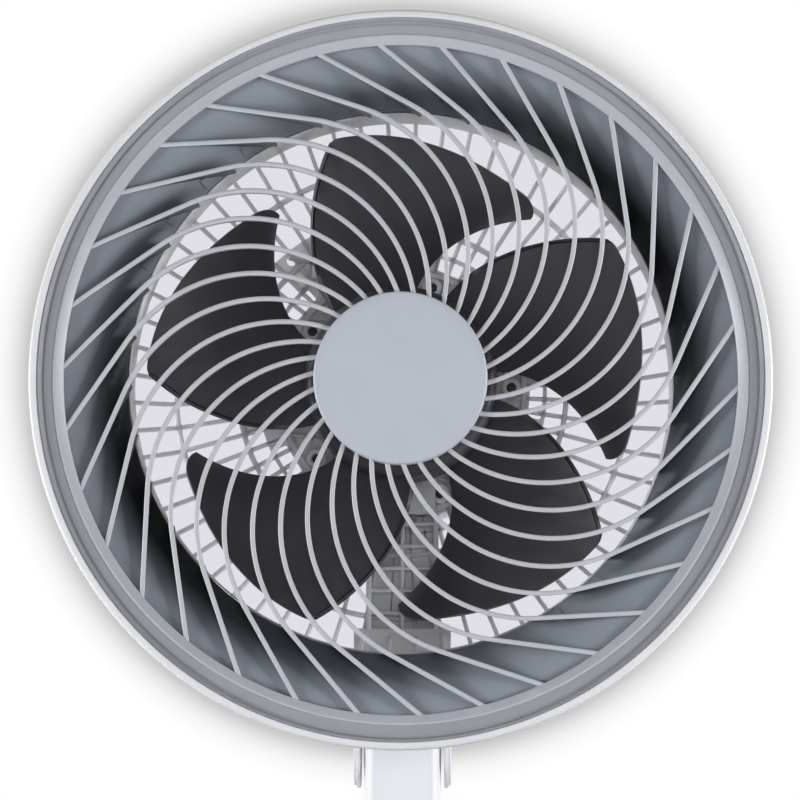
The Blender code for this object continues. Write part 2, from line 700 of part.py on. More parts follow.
def impeller():
    """Hub cup with its shaft boss, and the blades joined to it."""
    bore = SHAFT_RADIUS + GAP
    front, rear = HUB_FRONT_DEPTH, HUB_REAR_DEPTH
    profile = [(bore, front), (HUB_RADIUS - HUB_BEVEL - MM, front), (HUB_RADIUS, front + HUB_BEVEL),
               (HUB_RADIUS, rear), (HUB_RADIUS - HUB_WALL, rear),
               (HUB_RADIUS - HUB_WALL, front + HUB_BEVEL + 0.5 * MM), (HUB_BOSS_RADIUS, front + HUB_WALL),
               (HUB_BOSS_RADIUS, rear), (bore, rear)]
    wheel = turned("impeller", by_depth(profile), finish(CHARCOAL, 0.4), 30, FAN)
    blades = helper("blades", blades_mesh(), FAN)
    solid = blades.modifiers.new("thickness", "SOLIDIFY")
    solid.thickness = BLADE_THICKNESS
    solid.offset = 0.0
    boolean(wheel, blades, "UNION")
    return wheel


def spinner_nut():
    """Nut that holds the impeller on the shaft."""
    back = HUB_FRONT_DEPTH - GAP
    front = back - NUT_LENGTH
    bore = SHAFT_RADIUS + GAP
    profile = [(0.0, front), (NUT_RADIUS - MM, front), (NUT_RADIUS, front + MM), (NUT_RADIUS, back),
               (bore, back), (bore, SHAFT_FRONT_DEPTH - GAP), (0.0, SHAFT_FRONT_DEPTH - GAP)]
    return turned("spinner_nut", by_depth(profile), finish(BLACK, 0.45), 20, FAN)


# ---- motor ----------------------------------------------------------------------------------
def motor():
    """Shaft, rotor, stator, windings, bearings and the two halves of the motor case."""
    front, back = MOTOR_DEPTH, MOTOR_BACK_DEPTH
    middle = (front + back) / 2
    clear = SHAFT_RADIUS + GAP
    seat = BEARING_RADIUS + GAP
    inner = MOTOR_RADIUS - BELL_WALL
    bearing_front = front + GAP
    bearing_back = back - GAP

    shaft = by_depth(rod(SHAFT_RADIUS, back + 1.0 * MM, SHAFT_FRONT_DEPTH))
    turned("motor_shaft", shaft, METAL, 20, FAN)
    half_stack = STATOR_LENGTH / 2
    rotor = by_depth(ring(clear, ROTOR_RADIUS, middle + half_stack + MM, middle - half_stack - MM))
    turned("rotor", rotor, finish(STEEL, 0.5, 1.0), 16, FAN)
    core = by_depth(ring(STATOR_BORE, inner - GAP, middle + half_stack, middle - half_stack))
    turned("stator_core", core, finish(STEEL, 0.55, 1.0), 18, FAN)
    for name, side in (("winding_front", -1), ("winding_rear", 1)):
        near = middle + side * (half_stack + GAP)
        far = near + side * WINDING_LENGTH
        coil = by_depth(ring(STATOR_BORE + GAP, WINDING_OUTER, max(near, far), min(near, far)))
        turned(name, coil, finish(COPPER, 0.4, 1.0), 20, FAN)

    # The bells meet in the middle; each holds a bearing in a short collar.
    split = middle
    collar = bearing_front + BEARING_WIDTH
    bell = [(seat, front), (MOTOR_RADIUS - MM, front), (MOTOR_RADIUS, front + MM),
            (MOTOR_RADIUS, split - GAP / 2), (inner, split - GAP / 2), (inner, front + BELL_WALL),
            (seat + BELL_WALL, front + BELL_WALL), (seat + BELL_WALL, collar), (seat, collar)]
    turned("motor_front_bell", by_depth(bell), METAL, 18, FAN)
    mirrored = [(radius, front + back - depth) for radius, depth in reversed(bell)]
    turned("motor_rear_bell", by_depth(mirrored), METAL, 18, FAN)
    for name, start in (("front_bearing", bearing_front), ("rear_bearing", bearing_back - BEARING_WIDTH)):
        race = by_depth(ring(clear, BEARING_RADIUS, start + BEARING_WIDTH, start))
        turned(name, race, METAL, 14, FAN)

    board_front = back + 2.5 * MM
    board = by_depth(ring(0.0, WINDING_OUTER, board_front + BOARD_THICKNESS, board_front))
    turned("driver_board", board, finish(BOARD_GREEN, 0.4), 24, FAN)


def motor_screw_places():
    """Where the motor screws pass through the rear plate and the bracket, in the fan frame."""
    step = FULL_TURN / MOTOR_SCREW_COUNT
    return [on_circle(MOTOR_SCREW_CIRCLE, MOTOR_SCREW_PHASE + k * step) for k in range(MOTOR_SCREW_COUNT)]


def motor_screws(cut_pieces):
    """Screws through the rear grille's plate, the bracket and the front bell."""
    seat = REAR_FLAT_DEPTH - GAP
    end = MOTOR_DEPTH + BELL_WALL
    holes = cylinders_mesh("motor_screw_holes", motor_screw_places(), SCREW_RADIUS + GAP,
                           -end - MM, -seat + MM, 12)
    cutter = helper("motor_screw_holes", holes, FAN)
    for piece in cut_pieces:
        boolean(piece, cutter, "DIFFERENCE")
    for k, (x, y) in enumerate(motor_screw_places()):
        turned(f"motor_screw_{k + 1}", screw_profile(end - seat), METAL, SCREW_SIDES, FAN, (x, y, -seat))


# ---- bracket, pod and tilt joint ------------------------------------------------------------
def head_bracket():
    """Disc behind the motor, arm down the back of the head, and the two cheeks of the fork."""
    front_y = FRONT_Y + BRACKET_DEPTH
    arm_top = PIN_BELOW_AXIS - BRACKET_RADIUS * 0.6
    web_bottom = COLUMN_DEPTH / 2 + 6.0 * MM
    web = [((-CHEEK_OUTER, front_y, web_bottom), (CHEEK_OUTER, front_y + ARM_THICKNESS, CHEEK_ABOVE_PIN))]
    bracket = place("head_bracket", box_mesh("head_bracket", web), WHITE_PLASTIC, TILT)

    arm = [((-ARM_WIDTH / 2, front_y, CHEEK_ABOVE_PIN - MM), (ARM_WIDTH / 2, front_y + ARM_THICKNESS,
                                                             PIN_BELOW_AXIS - POD_RADIUS - MM))]
    boolean(bracket, helper("bracket_arm", box_mesh("bracket_arm", arm), TILT), "UNION")
    neck = [((-ARM_WIDTH / 2 + MM, front_y, PIN_BELOW_AXIS - POD_RADIUS - 2 * MM),
             (ARM_WIDTH / 2 - MM, front_y + BRACKET_THICKNESS, arm_top))]
    boolean(bracket, helper("bracket_neck", box_mesh("bracket_neck", neck), TILT), "UNION")
    disc = by_depth(rod(BRACKET_RADIUS, BRACKET_DEPTH + BRACKET_THICKNESS, BRACKET_DEPTH))
    boolean(bracket, turned_tool("bracket_disc", disc, 30, FAN), "UNION")

    low = -CHEEK_BELOW_PIN
    radius = (CHEEK_FRONT + CHEEK_BACK) / 2
    middle = (CHEEK_BACK - CHEEK_FRONT) / 2
    outline = arc((middle, low + radius), radius, math.pi, FULL_TURN, 8)
    outline += [(CHEEK_BACK, CHEEK_ABOVE_PIN), (front_y + MM, CHEEK_ABOVE_PIN),
                (-CHEEK_FRONT, CHEEK_FRONT_ABOVE_PIN)]
    # The outline is drawn in (Y, Z) and stood up across X.
    upright = (math.pi / 2, 0.0, math.pi / 2)
    for name, side in (("cheek_left", -1), ("cheek_right", 1)):
        centre = side * (CHEEK_INNER + CHEEK_OUTER) / 2
        cheek = helper(name, prism_mesh(name, outline, CHEEK_THICKNESS), TILT, (centre, 0.0, 0.0), upright)
        boolean(bracket, cheek, "UNION")

    bore = helper("pin_bore", cylinders_mesh("pin_bore", [(0.0, 0.0)], PIN_RADIUS + GAP,
                                             -CHEEK_OUTER - MM, CHEEK_OUTER + MM, 14),
                  TILT, (0.0, 0.0, 0.0), (0.0, math.pi / 2, 0.0))
    boolean(bracket, bore, "DIFFERENCE")
    hole = cylinders_mesh("bracket_hole", [(0.0, 0.0)], REAR_SHAFT_HOLE,
                          -BRACKET_DEPTH - BRACKET_THICKNESS - MM, -BRACKET_DEPTH + MM)
    boolean(bracket, helper("bracket_hole", hole, FAN), "DIFFERENCE")
    return bracket, bore


def motor_pod(bracket):
    """White cover over the motor, notched round the arm, with its two screws."""
    front, back = BRACKET_DEPTH, POD_BACK_DEPTH
    rounding = 7.0 * MM
    profile = [(POD_RADIUS - POD_WALL, front), (POD_RADIUS, front), (POD_RADIUS, back - 2.2 * rounding),
               (POD_RADIUS - 2.0 * MM, back - rounding), (POD_BACK_RADIUS + 3.0 * MM, back - 2.0 * MM),
               (POD_BACK_RADIUS, back), (0.0, back), (0.0, back - POD_WALL),
               (POD_BACK_RADIUS - MM, back - POD_WALL), (POD_RADIUS - POD_WALL - 2.0 * MM, back - rounding),
               (POD_RADIUS - POD_WALL, back - 2.2 * rounding)]
    # Start on the axis inside the cup, run out along its inner side, then down its outer side.
    inner_first = [profile[7]] + profile[8:] + profile[:7]
    pod = turned("motor_pod", by_depth(inner_first), WHITE_PLASTIC, 30, FAN)
    notch = [((-ARM_WIDTH / 2 - GAP, -POD_RADIUS - MM, -BRACKET_DEPTH - ARM_THICKNESS - GAP),
              (ARM_WIDTH / 2 + GAP, -POD_RADIUS / 2, -BRACKET_DEPTH + MM))]
    boolean(pod, helper("arm_notch", box_mesh("arm_notch", notch), FAN), "DIFFERENCE")

    places = [(-POD_SCREW_SPACING, 0.0), (POD_SCREW_SPACING, 0.0)]
    seat = POD_BACK_DEPTH + GAP
    length = POD_DEPTH - 1.5 * MM
    holes = cylinders_mesh("pod_screw_holes", places, SCREW_RADIUS + GAP, -seat - MM, -BRACKET_DEPTH + MM, 12)
    cutter = helper("pod_screw_holes", holes, FAN)
    boolean(pod, cutter, "DIFFERENCE")
    boolean(bracket, cutter, "DIFFERENCE")
    for k, (x, y) in enumerate(places):
        turned(f"pod_screw_{k + 1}", screw_profile(length), METAL, SCREW_SIDES, FAN, (x, y, -seat),
               rotation=(math.pi, 0.0, 0.0))
    return pod


def tilt_joint():
    """Pin with its nut, and a friction washer inside each cheek."""
    reach = CHEEK_OUTER + GAP
    head = PIN_HEAD_LENGTH
    pin = [(0.0, reach + head), (PIN_HEAD_RADIUS - MM, reach + head), (PIN_HEAD_RADIUS, reach + head - MM),
           (PIN_HEAD_RADIUS, reach), (PIN_RADIUS, reach), (PIN_RADIUS, -reach - head - MM),
           (0.0, -reach - head - MM)]
    across = (0.0, math.pi / 2, 0.0)
    turned("tilt_pin", pin, METAL, 20, TILT, rotation=across)
    nut = ring(PIN_RADIUS + GAP, PIN_HEAD_RADIUS, -reach - head, -reach)
    turned("tilt_nut", nut, METAL, 12, TILT, rotation=across)
    inner = COLUMN_WIDTH / 2 + GAP
    for name, side in (("tilt_washer_left", -1), ("tilt_washer_right", 1)):
        near, far = side * inner, side * (inner + WASHER_THICKNESS)
        washer = ring(PIN_RADIUS + GAP, WASHER_RADIUS, min(near, far), max(near, far))
        turned(name, washer, finish(BLACK, 0.7), 12, TILT, rotation=across)


# ---- column ---------------------------------------------------------------------------------
def half_shell(name, front):
    """One half of the hollow column: a U of even thickness, split at the middle."""
    outer = rounded_rectangle(COLUMN_WIDTH, COLUMN_DEPTH, COLUMN_CORNER)
    inner = rounded_rectangle(COLUMN_WIDTH - 2 * COLUMN_WALL, COLUMN_DEPTH - 2 * COLUMN_WALL,
                              COLUMN_CORNER - COLUMN_WALL)
    half = len(outer) // 2
    split = GAP / 2
    outside = [(-COLUMN_WIDTH / 2, -split)] + outer[half:] + [(COLUMN_WIDTH / 2, -split)]
    wall = COLUMN_WIDTH / 2 - COLUMN_WALL
    inside = [(wall, -split)] + list(reversed(inner[half:])) + [(-wall, -split)]
    outline = outside + inside
    if not front:
        outline = [(-x, -y) for x, y in outline]
    height = COLUMN_TOP - COLUMN_BOTTOM
    mesh = prism_mesh(name, outline, height)
    return place(name, mesh, WHITE_PLASTIC, SWIVEL, (0.0, 0.0, (COLUMN_TOP + COLUMN_BOTTOM) / 2))


def plug_box(bottom, top):
    """Box that fills the hollow of the column between two heights."""
    x = COLUMN_WIDTH / 2 - COLUMN_WALL - GAP
    y = COLUMN_DEPTH / 2 - COLUMN_WALL - GAP
    return (-x, -y, bottom), (x, y, top)


def column(pin_bore):
    """Two shells, the hinge block on top, the swivel shaft below, and their screws."""
    half_shell("column_front", True)
    rear = half_shell("column_rear", False)

    block_bottom = COLUMN_TOP + GAP
    radius = COLUMN_DEPTH / 2
    outline = [(-radius, block_bottom - PIN_HEIGHT), (radius, block_bottom - PIN_HEIGHT)]
    outline += arc((0.0, 0.0), radius, 0.0, math.pi, 10)
    block = place("hinge_block", prism_mesh("hinge_block", outline, COLUMN_WIDTH), WHITE_PLASTIC, SWIVEL,
                  (0.0, 0.0, PIN_HEIGHT), (math.pi / 2, 0.0, math.pi / 2))
    plug_bottom = COLUMN_TOP - PLUG_LENGTH
    plug = box_mesh("block_plug", [plug_box(plug_bottom, block_bottom + MM)], PLUG_CHAMFER)
    boolean(block, helper("block_plug", plug, SWIVEL), "UNION")

    flange_bottom = COLUMN_BOTTOM + GAP
    flange_top = flange_bottom + PLUG_LENGTH
    shaft = place("swivel_shaft", box_mesh("swivel_shaft", [plug_box(flange_bottom, flange_top)], PLUG_CHAMFER),
                  finish(BLACK, 0.5), SWIVEL)
    tube = rod(SWIVEL_TUBE_RADIUS, GEAR_BOTTOM, flange_bottom + MM)
    boolean(shaft, turned_tool("swivel_tube", tube, 28, SWIVEL), "UNION")
    bore = cylinders_mesh("swivel_bore", [(0.0, 0.0)], SWIVEL_BORE, GEAR_BOTTOM - MM, flange_top + MM)
    boolean(shaft, helper("swivel_bore", bore, SWIVEL), "DIFFERENCE")

    heights = ((plug_bottom + COLUMN_TOP) / 2, (flange_bottom + flange_top) / 2)
    end = -COLUMN_DEPTH / 2 + 9.0 * MM
    seat = COLUMN_DEPTH / 2 + GAP
    backwards = (-math.pi / 2, 0.0, 0.0)
    holes = cylinders_mesh("column_screw_holes", [(0.0, -z) for z in heights], SCREW_RADIUS + GAP,
                           -end - MM, seat + MM, 12)
    cutter = helper("column_screw_holes", holes, SWIVEL, (0.0, 0.0, 0.0), backwards)
    for piece in (rear, block, shaft):
        boolean(piece, cutter, "DIFFERENCE")
    boolean(block, pin_bore, "DIFFERENCE")
    for k, z in enumerate(heights):
        turned(f"column_screw_{k + 1}", screw_profile(seat + end), METAL, SCREW_SIDES, SWIVEL, (0.0, seat, z),
               rotation=backwards)

    race = ring(SWIVEL_TUBE_RADIUS + GAP, COLUMN_DEPTH / 2 + MM, BASE_HEIGHT + GAP,
                BASE_HEIGHT + GAP + BEARING_RING_HEIGHT)
    turned("bearing_ring", race, finish(BLACK, 0.35), 24)


# ---- oscillation drive ----------------------------------------------------------------------
def gear_outline(teeth, phase):
    """Straight-sided teeth, narrowed by the backlash on each flank."""
    pitch_radius = GEAR_MODULE * teeth / 2
    root = pitch_radius - 1.15 * GEAR_MODULE
    tip = pitch_radius + 0.9 * GEAR_MODULE
    step = FULL_TURN / teeth
    points = []
    for k in range(teeth):
        centre = phase + k * step
        for radius, width in ((root, 0.36), (tip, 0.15)):
            half = max(width * step - GEAR_BACKLASH / radius / 2, 0.05 * step)
            points.append((radius, centre, half))
    outline = []
    for k in range(teeth):
        root_point, tip_point = points[2 * k], points[2 * k + 1]
        outline.append(on_circle(root_point[0], root_point[1] - root_point[2]))
        outline.append(on_circle(tip_point[0], tip_point[1] - tip_point[2]))
        outline.append(on_circle(tip_point[0], tip_point[1] + tip_point[2]))
        outline.append(on_circle(root_point[0], root_point[1] + root_point[2]))
    return outline


def oscillation_drive():
    """Gear on the swivel shaft, pinion beside it, and the geared motor under the pinion."""
    height = GEAR_BOTTOM + GEAR_THICKNESS / 2
    gear = place("swivel_gear", prism_mesh("swivel_gear", gear_outline(GEAR_TEETH, math.pi / 2),
                                           GEAR_THICKNESS), finish(WHITE, 0.4), SWIVEL, (0.0, 0.0, height))
    bore = cylinders_mesh("gear_bore", [(0.0, 0.0)], SWIVEL_TUBE_RADIUS + GAP, GEAR_BOTTOM - MM,
                          GEAR_BOTTOM + GEAR_THICKNESS + MM, 28)
    boolean(gear, helper("gear_bore", bore, SWIVEL), "DIFFERENCE")
    # A gap of the pinion faces the gear's tooth at rest.
    phase = -math.pi / 2 + math.pi / PINION_TEETH
    place("drive_pinion", prism_mesh("drive_pinion", gear_outline(PINION_TEETH, phase), GEAR_THICKNESS),
          finish(BLACK, 0.4), DRIVE, (0.0, 0.0, GEAR_THICKNESS / 2))

    bottom = WEIGHT_TOP + GAP
    top = bottom + DRIVE_HEIGHT
    can = [(0.0, top), (DRIVE_RADIUS - MM, top), (DRIVE_RADIUS, top - MM), (DRIVE_RADIUS, bottom),
           (0.0, bottom)]
    turned("oscillation_motor", can, METAL, 24, None, (0.0, GEAR_CENTRES, 0.0))


# ---- base -----------------------------------------------------------------------------------
def base_shell():
    """Round top shell with a rounded shoulder."""
    top, bottom = BASE_HEIGHT, BASE_SHELL_BOTTOM
    shoulder = BASE_RADIUS - BASE_SHOULDER
    hole = SWIVEL_TUBE_RADIUS + 2 * GAP
    outer = arc((shoulder, top - BASE_SHOULDER), BASE_SHOULDER, math.pi / 2, 0.0, 3)
    inner = arc((shoulder, top - BASE_SHOULDER), BASE_SHOULDER - BASE_WALL, 0.0, math.pi / 2, 3)
    profile = [(hole, top)] + outer + [(BASE_RADIUS, bottom), (BASE_RADIUS - BASE_WALL, bottom)]
    profile += inner + [(hole, top - BASE_WALL)]
    return turned("base_top", profile, WHITE_PLASTIC, 40)


def controls(shell):
    """Four push buttons and a display lens in the front of the base, with the board under them."""
    first = -BUTTON_PITCH * (len(BUTTON_NAMES) - 1) / 2
    places = [(first + k * BUTTON_PITCH, BUTTON_ROW_Y) for k in range(len(BUTTON_NAMES))]
    above, below = BASE_HEIGHT + MM, BASE_HEIGHT - BASE_WALL - MM
    holes = cylinders_mesh("button_holes", places, BUTTON_RADIUS + GAP, below, above, 16)
    boolean(shell, helper("button_holes", holes), "DIFFERENCE")
    window = [((-LENS_WIDTH / 2 - GAP, LENS_Y - LENS_LENGTH / 2 - GAP, below),
               (LENS_WIDTH / 2 + GAP, LENS_Y + LENS_LENGTH / 2 + GAP, above))]
    boolean(shell, helper("lens_window", box_mesh("lens_window", window)), "DIFFERENCE")

    flange_top = BASE_HEIGHT - BASE_WALL - GAP
    bottom = BUTTON_TOP - BUTTON_SIZE
    edge = 0.7 * MM
    stem = 2.0 * MM
    profile = [(0.0, BUTTON_TOP), (BUTTON_RADIUS - edge, BUTTON_TOP), (BUTTON_RADIUS, BUTTON_TOP - edge),
               (BUTTON_RADIUS, flange_top), (BUTTON_FLANGE, flange_top), (BUTTON_FLANGE, flange_top - MM),
               (stem, flange_top - MM), (stem, bottom), (0.0, bottom)]
    for name, (x, y) in zip(BUTTON_NAMES, places):
        turned(name, profile, finish(GRILLE_GREY, 0.4), 12, None, (x, y, 0.0))

    lens = [((-LENS_WIDTH / 2, LENS_Y - LENS_LENGTH / 2, BASE_HEIGHT - BASE_WALL),
             (LENS_WIDTH / 2, LENS_Y + LENS_LENGTH / 2, BASE_HEIGHT))]
    place("display_lens", box_mesh("display_lens", lens), finish(BLACK, 0.1))
    board_top = bottom - BUTTON_TRAVEL - GAP
    board_y = (BUTTON_ROW_Y + LENS_Y) / 2
    board = [((-BOARD_WIDTH / 2, board_y - BOARD_LENGTH / 2, board_top - BOARD_THICKNESS),
              (BOARD_WIDTH / 2, board_y + BOARD_LENGTH / 2, board_top))]
    place("control_board", box_mesh("control_board", board), finish(BOARD_GREEN, 0.4))


def power_inlet(shell):
    """Barrel socket in the back wall of the base."""
    middle = WEIGHT_TOP + GAP + INLET_HEIGHT / 2
    back = BASE_RADIUS - 0.5 * MM
    hole = [((-INLET_WIDTH / 2 - GAP, BASE_RADIUS - INLET_LENGTH, middle - INLET_HEIGHT / 2 - GAP),
             (INLET_WIDTH / 2 + GAP, BASE_RADIUS + MM, middle + INLET_HEIGHT / 2 + GAP))]
    boolean(shell, helper("inlet_window", box_mesh("inlet_window", hole)), "DIFFERENCE")
    body = [((-INLET_WIDTH / 2, back - INLET_LENGTH, middle - INLET_HEIGHT / 2),
             (INLET_WIDTH / 2, back, middle + INLET_HEIGHT / 2))]
    socket = place("power_inlet", box_mesh("power_inlet", body), finish(BLACK, 0.4))
    bore = cylinders_mesh("inlet_bore", [(0.0, -middle)], INLET_BORE, back - INLET_LENGTH + 3 * MM, back + MM)
    boolean(socket, helper("inlet_bore", bore, None, (0.0, 0.0, 0.0), (-math.pi / 2, 0.0, 0.0)), "DIFFERENCE")


def base_floor():
    """Bottom plate, steel weight and their screws, and the rubber feet."""
    plate_radius = BASE_RADIUS - BASE_WALL - GAP
    plate = turned("base_bottom", rod(plate_radius, FLOOR_PLATE_BOTTOM, FLOOR_PLATE_TOP),
                   finish(WHITE, 0.5), 40)
    weight_bottom = FLOOR_PLATE_TOP + GAP
    weight = turned("base_weight", ring(WEIGHT_INNER, WEIGHT_OUTER, weight_bottom, WEIGHT_TOP),
                    finish(STEEL, 0.5, 1.0), 32)

    step = FULL_TURN / WEIGHT_SCREW_COUNT
    places = [on_circle(WEIGHT_SCREW_CIRCLE, math.pi / 2 + k * step) for k in range(WEIGHT_SCREW_COUNT)]
    sunk = FLOOR_PLATE_BOTTOM + SCREW_HEAD
    recess = cylinders_mesh("screw_recesses", places, SCREW_HEAD_RADIUS + GAP, 0.0, sunk, 16)
    boolean(plate, helper("screw_recesses", recess), "DIFFERENCE")
    holes = cylinders_mesh("weight_screw_holes", places, SCREW_RADIUS + GAP, 0.0, WEIGHT_TOP + MM, 12)
    cutter = helper("weight_screw_holes", holes)
    boolean(plate, cutter, "DIFFERENCE")
    boolean(weight, cutter, "DIFFERENCE")
    seat = sunk - GAP
    for k, (x, y) in enumerate(places):
        turned(f"weight_screw_{k + 1}", screw_profile(WEIGHT_TOP - seat - MM), METAL, SCREW_SIDES, None, (x, y, seat),
               rotation=(math.pi, 0.0, 0.0))

    edge = 0.5 * MM
    foot = [(0.0, FOOT_HEIGHT), (FOOT_RADIUS, FOOT_HEIGHT), (FOOT_RADIUS, edge),
            (FOOT_RADIUS - edge, 0.0), (0.0, 0.0)]
    for k in range(FOOT_COUNT):
        x, y = on_circle(FOOT_CIRCLE, (k + 0.5) * FULL_TURN / FOOT_COUNT)
        turned(f"rubber_foot_{k + 1}", foot, finish(BLACK, 0.8), 12, None, (x, y, 0.0))


# ---- assembly -------------------------------------------------------------------------------
front_grille()
grille_cap()
head_housing()
duct_cone()
lattice = rear_grille()
impeller()
spinner_nut()
motor()
fork, fork_bore = head_bracket()
motor_screws((lattice, fork, bpy.data.objects["motor_front_bell"]))
motor_pod(fork)
tilt_joint()
column(fork_bore)
oscillation_drive()
top_shell = base_shell()
controls(top_shell)
power_inlet(top_shell)
base_floor()

for made_piece in MODEL.objects:
    if made_piece.type != "MESH":
        continue
    if made_piece.data.polygons:
        smooth(made_piece.data)
    if any(step.type == "BOOLEAN" for step in made_piece.modifiers):
        weld = made_piece.modifiers.new("weld", "WELD")
        weld.merge_threshold = MERGE
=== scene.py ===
"""Looks of the table air circulator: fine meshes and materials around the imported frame.

Metres, +Z up; the fan blows towards -Y. Shapes of the head are written in the fan frame, as
(radius, depth) with depth measured backwards from the front lip, or as (x, y) on the fan's face.
"""

import json
import math

import bmesh
import bpy
from mathutils import Matrix, Vector


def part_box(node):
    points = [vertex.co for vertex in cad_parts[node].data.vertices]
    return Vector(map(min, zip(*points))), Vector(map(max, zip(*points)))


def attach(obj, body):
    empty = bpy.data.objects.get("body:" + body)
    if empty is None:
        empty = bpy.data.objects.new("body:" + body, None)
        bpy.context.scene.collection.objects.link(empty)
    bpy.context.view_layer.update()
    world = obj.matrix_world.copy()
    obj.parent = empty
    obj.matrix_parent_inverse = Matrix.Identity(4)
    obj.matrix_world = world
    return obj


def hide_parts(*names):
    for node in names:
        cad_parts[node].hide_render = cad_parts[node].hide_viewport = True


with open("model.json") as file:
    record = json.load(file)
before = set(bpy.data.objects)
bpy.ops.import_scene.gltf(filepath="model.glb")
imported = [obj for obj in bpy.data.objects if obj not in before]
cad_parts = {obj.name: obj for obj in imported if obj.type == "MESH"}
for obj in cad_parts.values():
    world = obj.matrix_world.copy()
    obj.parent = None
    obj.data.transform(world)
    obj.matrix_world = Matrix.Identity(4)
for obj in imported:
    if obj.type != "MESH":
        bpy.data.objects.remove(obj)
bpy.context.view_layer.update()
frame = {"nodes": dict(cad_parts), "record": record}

MM = 0.001
DEGREE = math.pi / 180
FULL_TURN = 2.0 * math.pi
QUARTER_TURN = math.pi / 2
GAP = 0.3 * MM
UNMOVED = Matrix()


def at(x=0.0, y=0.0, z=0.0):
    """A shift."""
    return Matrix.Translation((x, y, z))


def turn(angle, axis):
    """A turn about an axis."""
    return Matrix.Rotation(angle, 4, axis)


def radius_of(node):
    """Radius of a round node of the head."""
    low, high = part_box(node)
    return (high.x - low.x) / 2


def middle_of(node):
    """Middle of a node's box."""
    low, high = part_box(node)
    return (low + high) / 2


def depths_of(node):
    """Front and back of a node, as depths behind the front lip."""
    low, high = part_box(node)
    return low.y - FRONT_Y, high.y - FRONT_Y


# ---- places read from the frame ----
HEAD_RADIUS = radius_of("head_housing")
FRONT_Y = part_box("head_housing")[0].y
HOUSING_DEPTH = depths_of("head_housing")[1]
AXIS_Z = middle_of("head_housing").z
FAN = at(0.0, FRONT_Y, AXIS_Z) @ turn(QUARTER_TURN, "X")
UPRIGHT = turn(QUARTER_TURN, "Z") @ turn(QUARTER_TURN, "X")
RIM_OUTER = radius_of("front_grille")
RIM_DEPTH = depths_of("front_grille")[0]
CAP_RADIUS = radius_of("grille_cap")
CAP_FRONT, CAP_BACK = depths_of("grille_cap")
DUCT_LIP = radius_of("duct_cone")
CONE_DEPTH, DUCT_REAR = depths_of("duct_cone")
LATTICE_EDGE = radius_of("rear_grille")
LATTICE_FRONT, LATTICE_BACK = depths_of("rear_grille")
POD_RADIUS = radius_of("motor_pod")
POD_FRONT, POD_BACK = depths_of("motor_pod")
HUB_FRONT = depths_of("impeller")[0]
PIN_Z = middle_of("tilt_pin").z
COLUMN_LOW, COLUMN_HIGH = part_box("column_front")[0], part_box("column_rear")[1]
BLOCK_LOW, BLOCK_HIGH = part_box("hinge_block")
BRACKET_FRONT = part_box("head_bracket")[0].y
BASE_LOW, BASE_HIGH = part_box("base_top")
BASE_RADIUS = BASE_HIGH.x

# ---- sizes of the design ----
LIP_INNER = HEAD_RADIUS - 2.7 * MM
HOUSING_WALL = 2.2 * MM
HOUSING_STRAIGHT = 14 * MM
BEAD_OUTER = LIP_INNER - 0.05 * MM
BAND_OUTER = RIM_OUTER - 4.8 * MM
BAND_INNER = BAND_OUTER - 3.5 * MM
BAND_DEPTH = RIM_DEPTH + 1.8 * MM
THROAT_RADIUS = LATTICE_EDGE - 5.9 * MM
FLARE_DROP = 11 * MM
THROAT_DEPTH = CONE_DEPTH + FLARE_DROP
DUCT_WALL = 1.8 * MM
LIT_ANGLE = 118 * DEGREE      # the line across the fan where painted light keeps the funnel and its fins lighter
VANE_COUNT = 34
VANE_WIDTH = 1.7 * MM
VANE_DEPTH = 4.5 * MM
VANE_CAP = 2.2 * MM             # depth of the pale part of a vane over the funnel
FIN_WIDTH = 1.3 * MM
VANE_ARC_RADIUS = 54.5 * MM
VANE_ARC_CENTRE = 53.6 * MM
VANE_PHASE = 82.5 * DEGREE
BOSS_RADIUS = CAP_RADIUS + 0.2 * MM
BOSS_DEPTH = CAP_BACK + GAP
BLADE_COUNT = 5
BLADE_THICKNESS = 1.8 * MM
HUB_RADIUS = 34 * MM
HUB_WALL = 2 * MM
BLADE_FRONT_TIP = THROAT_RADIUS - 6.5 * MM
BLADE_REAR_TIP = BLADE_FRONT_TIP - 7.1 * MM
ROOT_ANGLES = (83.8 * DEGREE, 134.1 * DEGREE)      # rear edge, front edge
TIP_ANGLES = (53 * DEGREE, 106.6 * DEGREE)
ROOT_DEPTHS = (43.5 * MM, 21 * MM)
TIP_DEPTHS = (45 * MM, 18 * MM)
RIB_COUNT = 60
RIB_WIDTH = 1.6 * MM
RIB_THICKNESS = 2.5 * MM
PLATE_RADIUS = 45 * MM
SKIRT_RADIUS = 52.5 * MM
FLAT_DEPTH = LATTICE_BACK - RIB_THICKNESS
INNER_RING = 59.5 * MM
LATTICE_INNER_EDGE = LATTICE_EDGE - 5.3 * MM
LATTICE_FLAT = LATTICE_INNER_EDGE - 13.9 * MM
OUTER_RING = LATTICE_FLAT - MM
PLATE_BOSSES = 5
BOSS_CIRCLE = 39.5 * MM
BOSS_PHASE = -70 * DEGREE
ARM_HALF = 13 * MM
ARM_THICKNESS = 9 * MM
CHEEK_OUTER = 17.45 * MM
PIN_HOLE = 3.3 * MM
SCREW_HOLE = 1.8 * MM
VENT_RADIUS = 27 * MM
KEYS = (("button_power", "power_key"), ("button_speed", "speed_key"),
        ("button_swing", "swing_key"), ("button_timer", "timer_key"))


# ---- outlines ----
def on_circle(radius, angle):
    """A point on a circle about the origin."""
    return radius * math.cos(angle), radius * math.sin(angle)


def spread(start, end, steps):
    """Evenly spaced values from start to end."""
    return [start + (end - start) * k / steps for k in range(steps + 1)]


def around(count, phase=0.0):
    """Evenly spaced angles round a circle."""
    return [phase + k * FULL_TURN / count for k in range(count)]


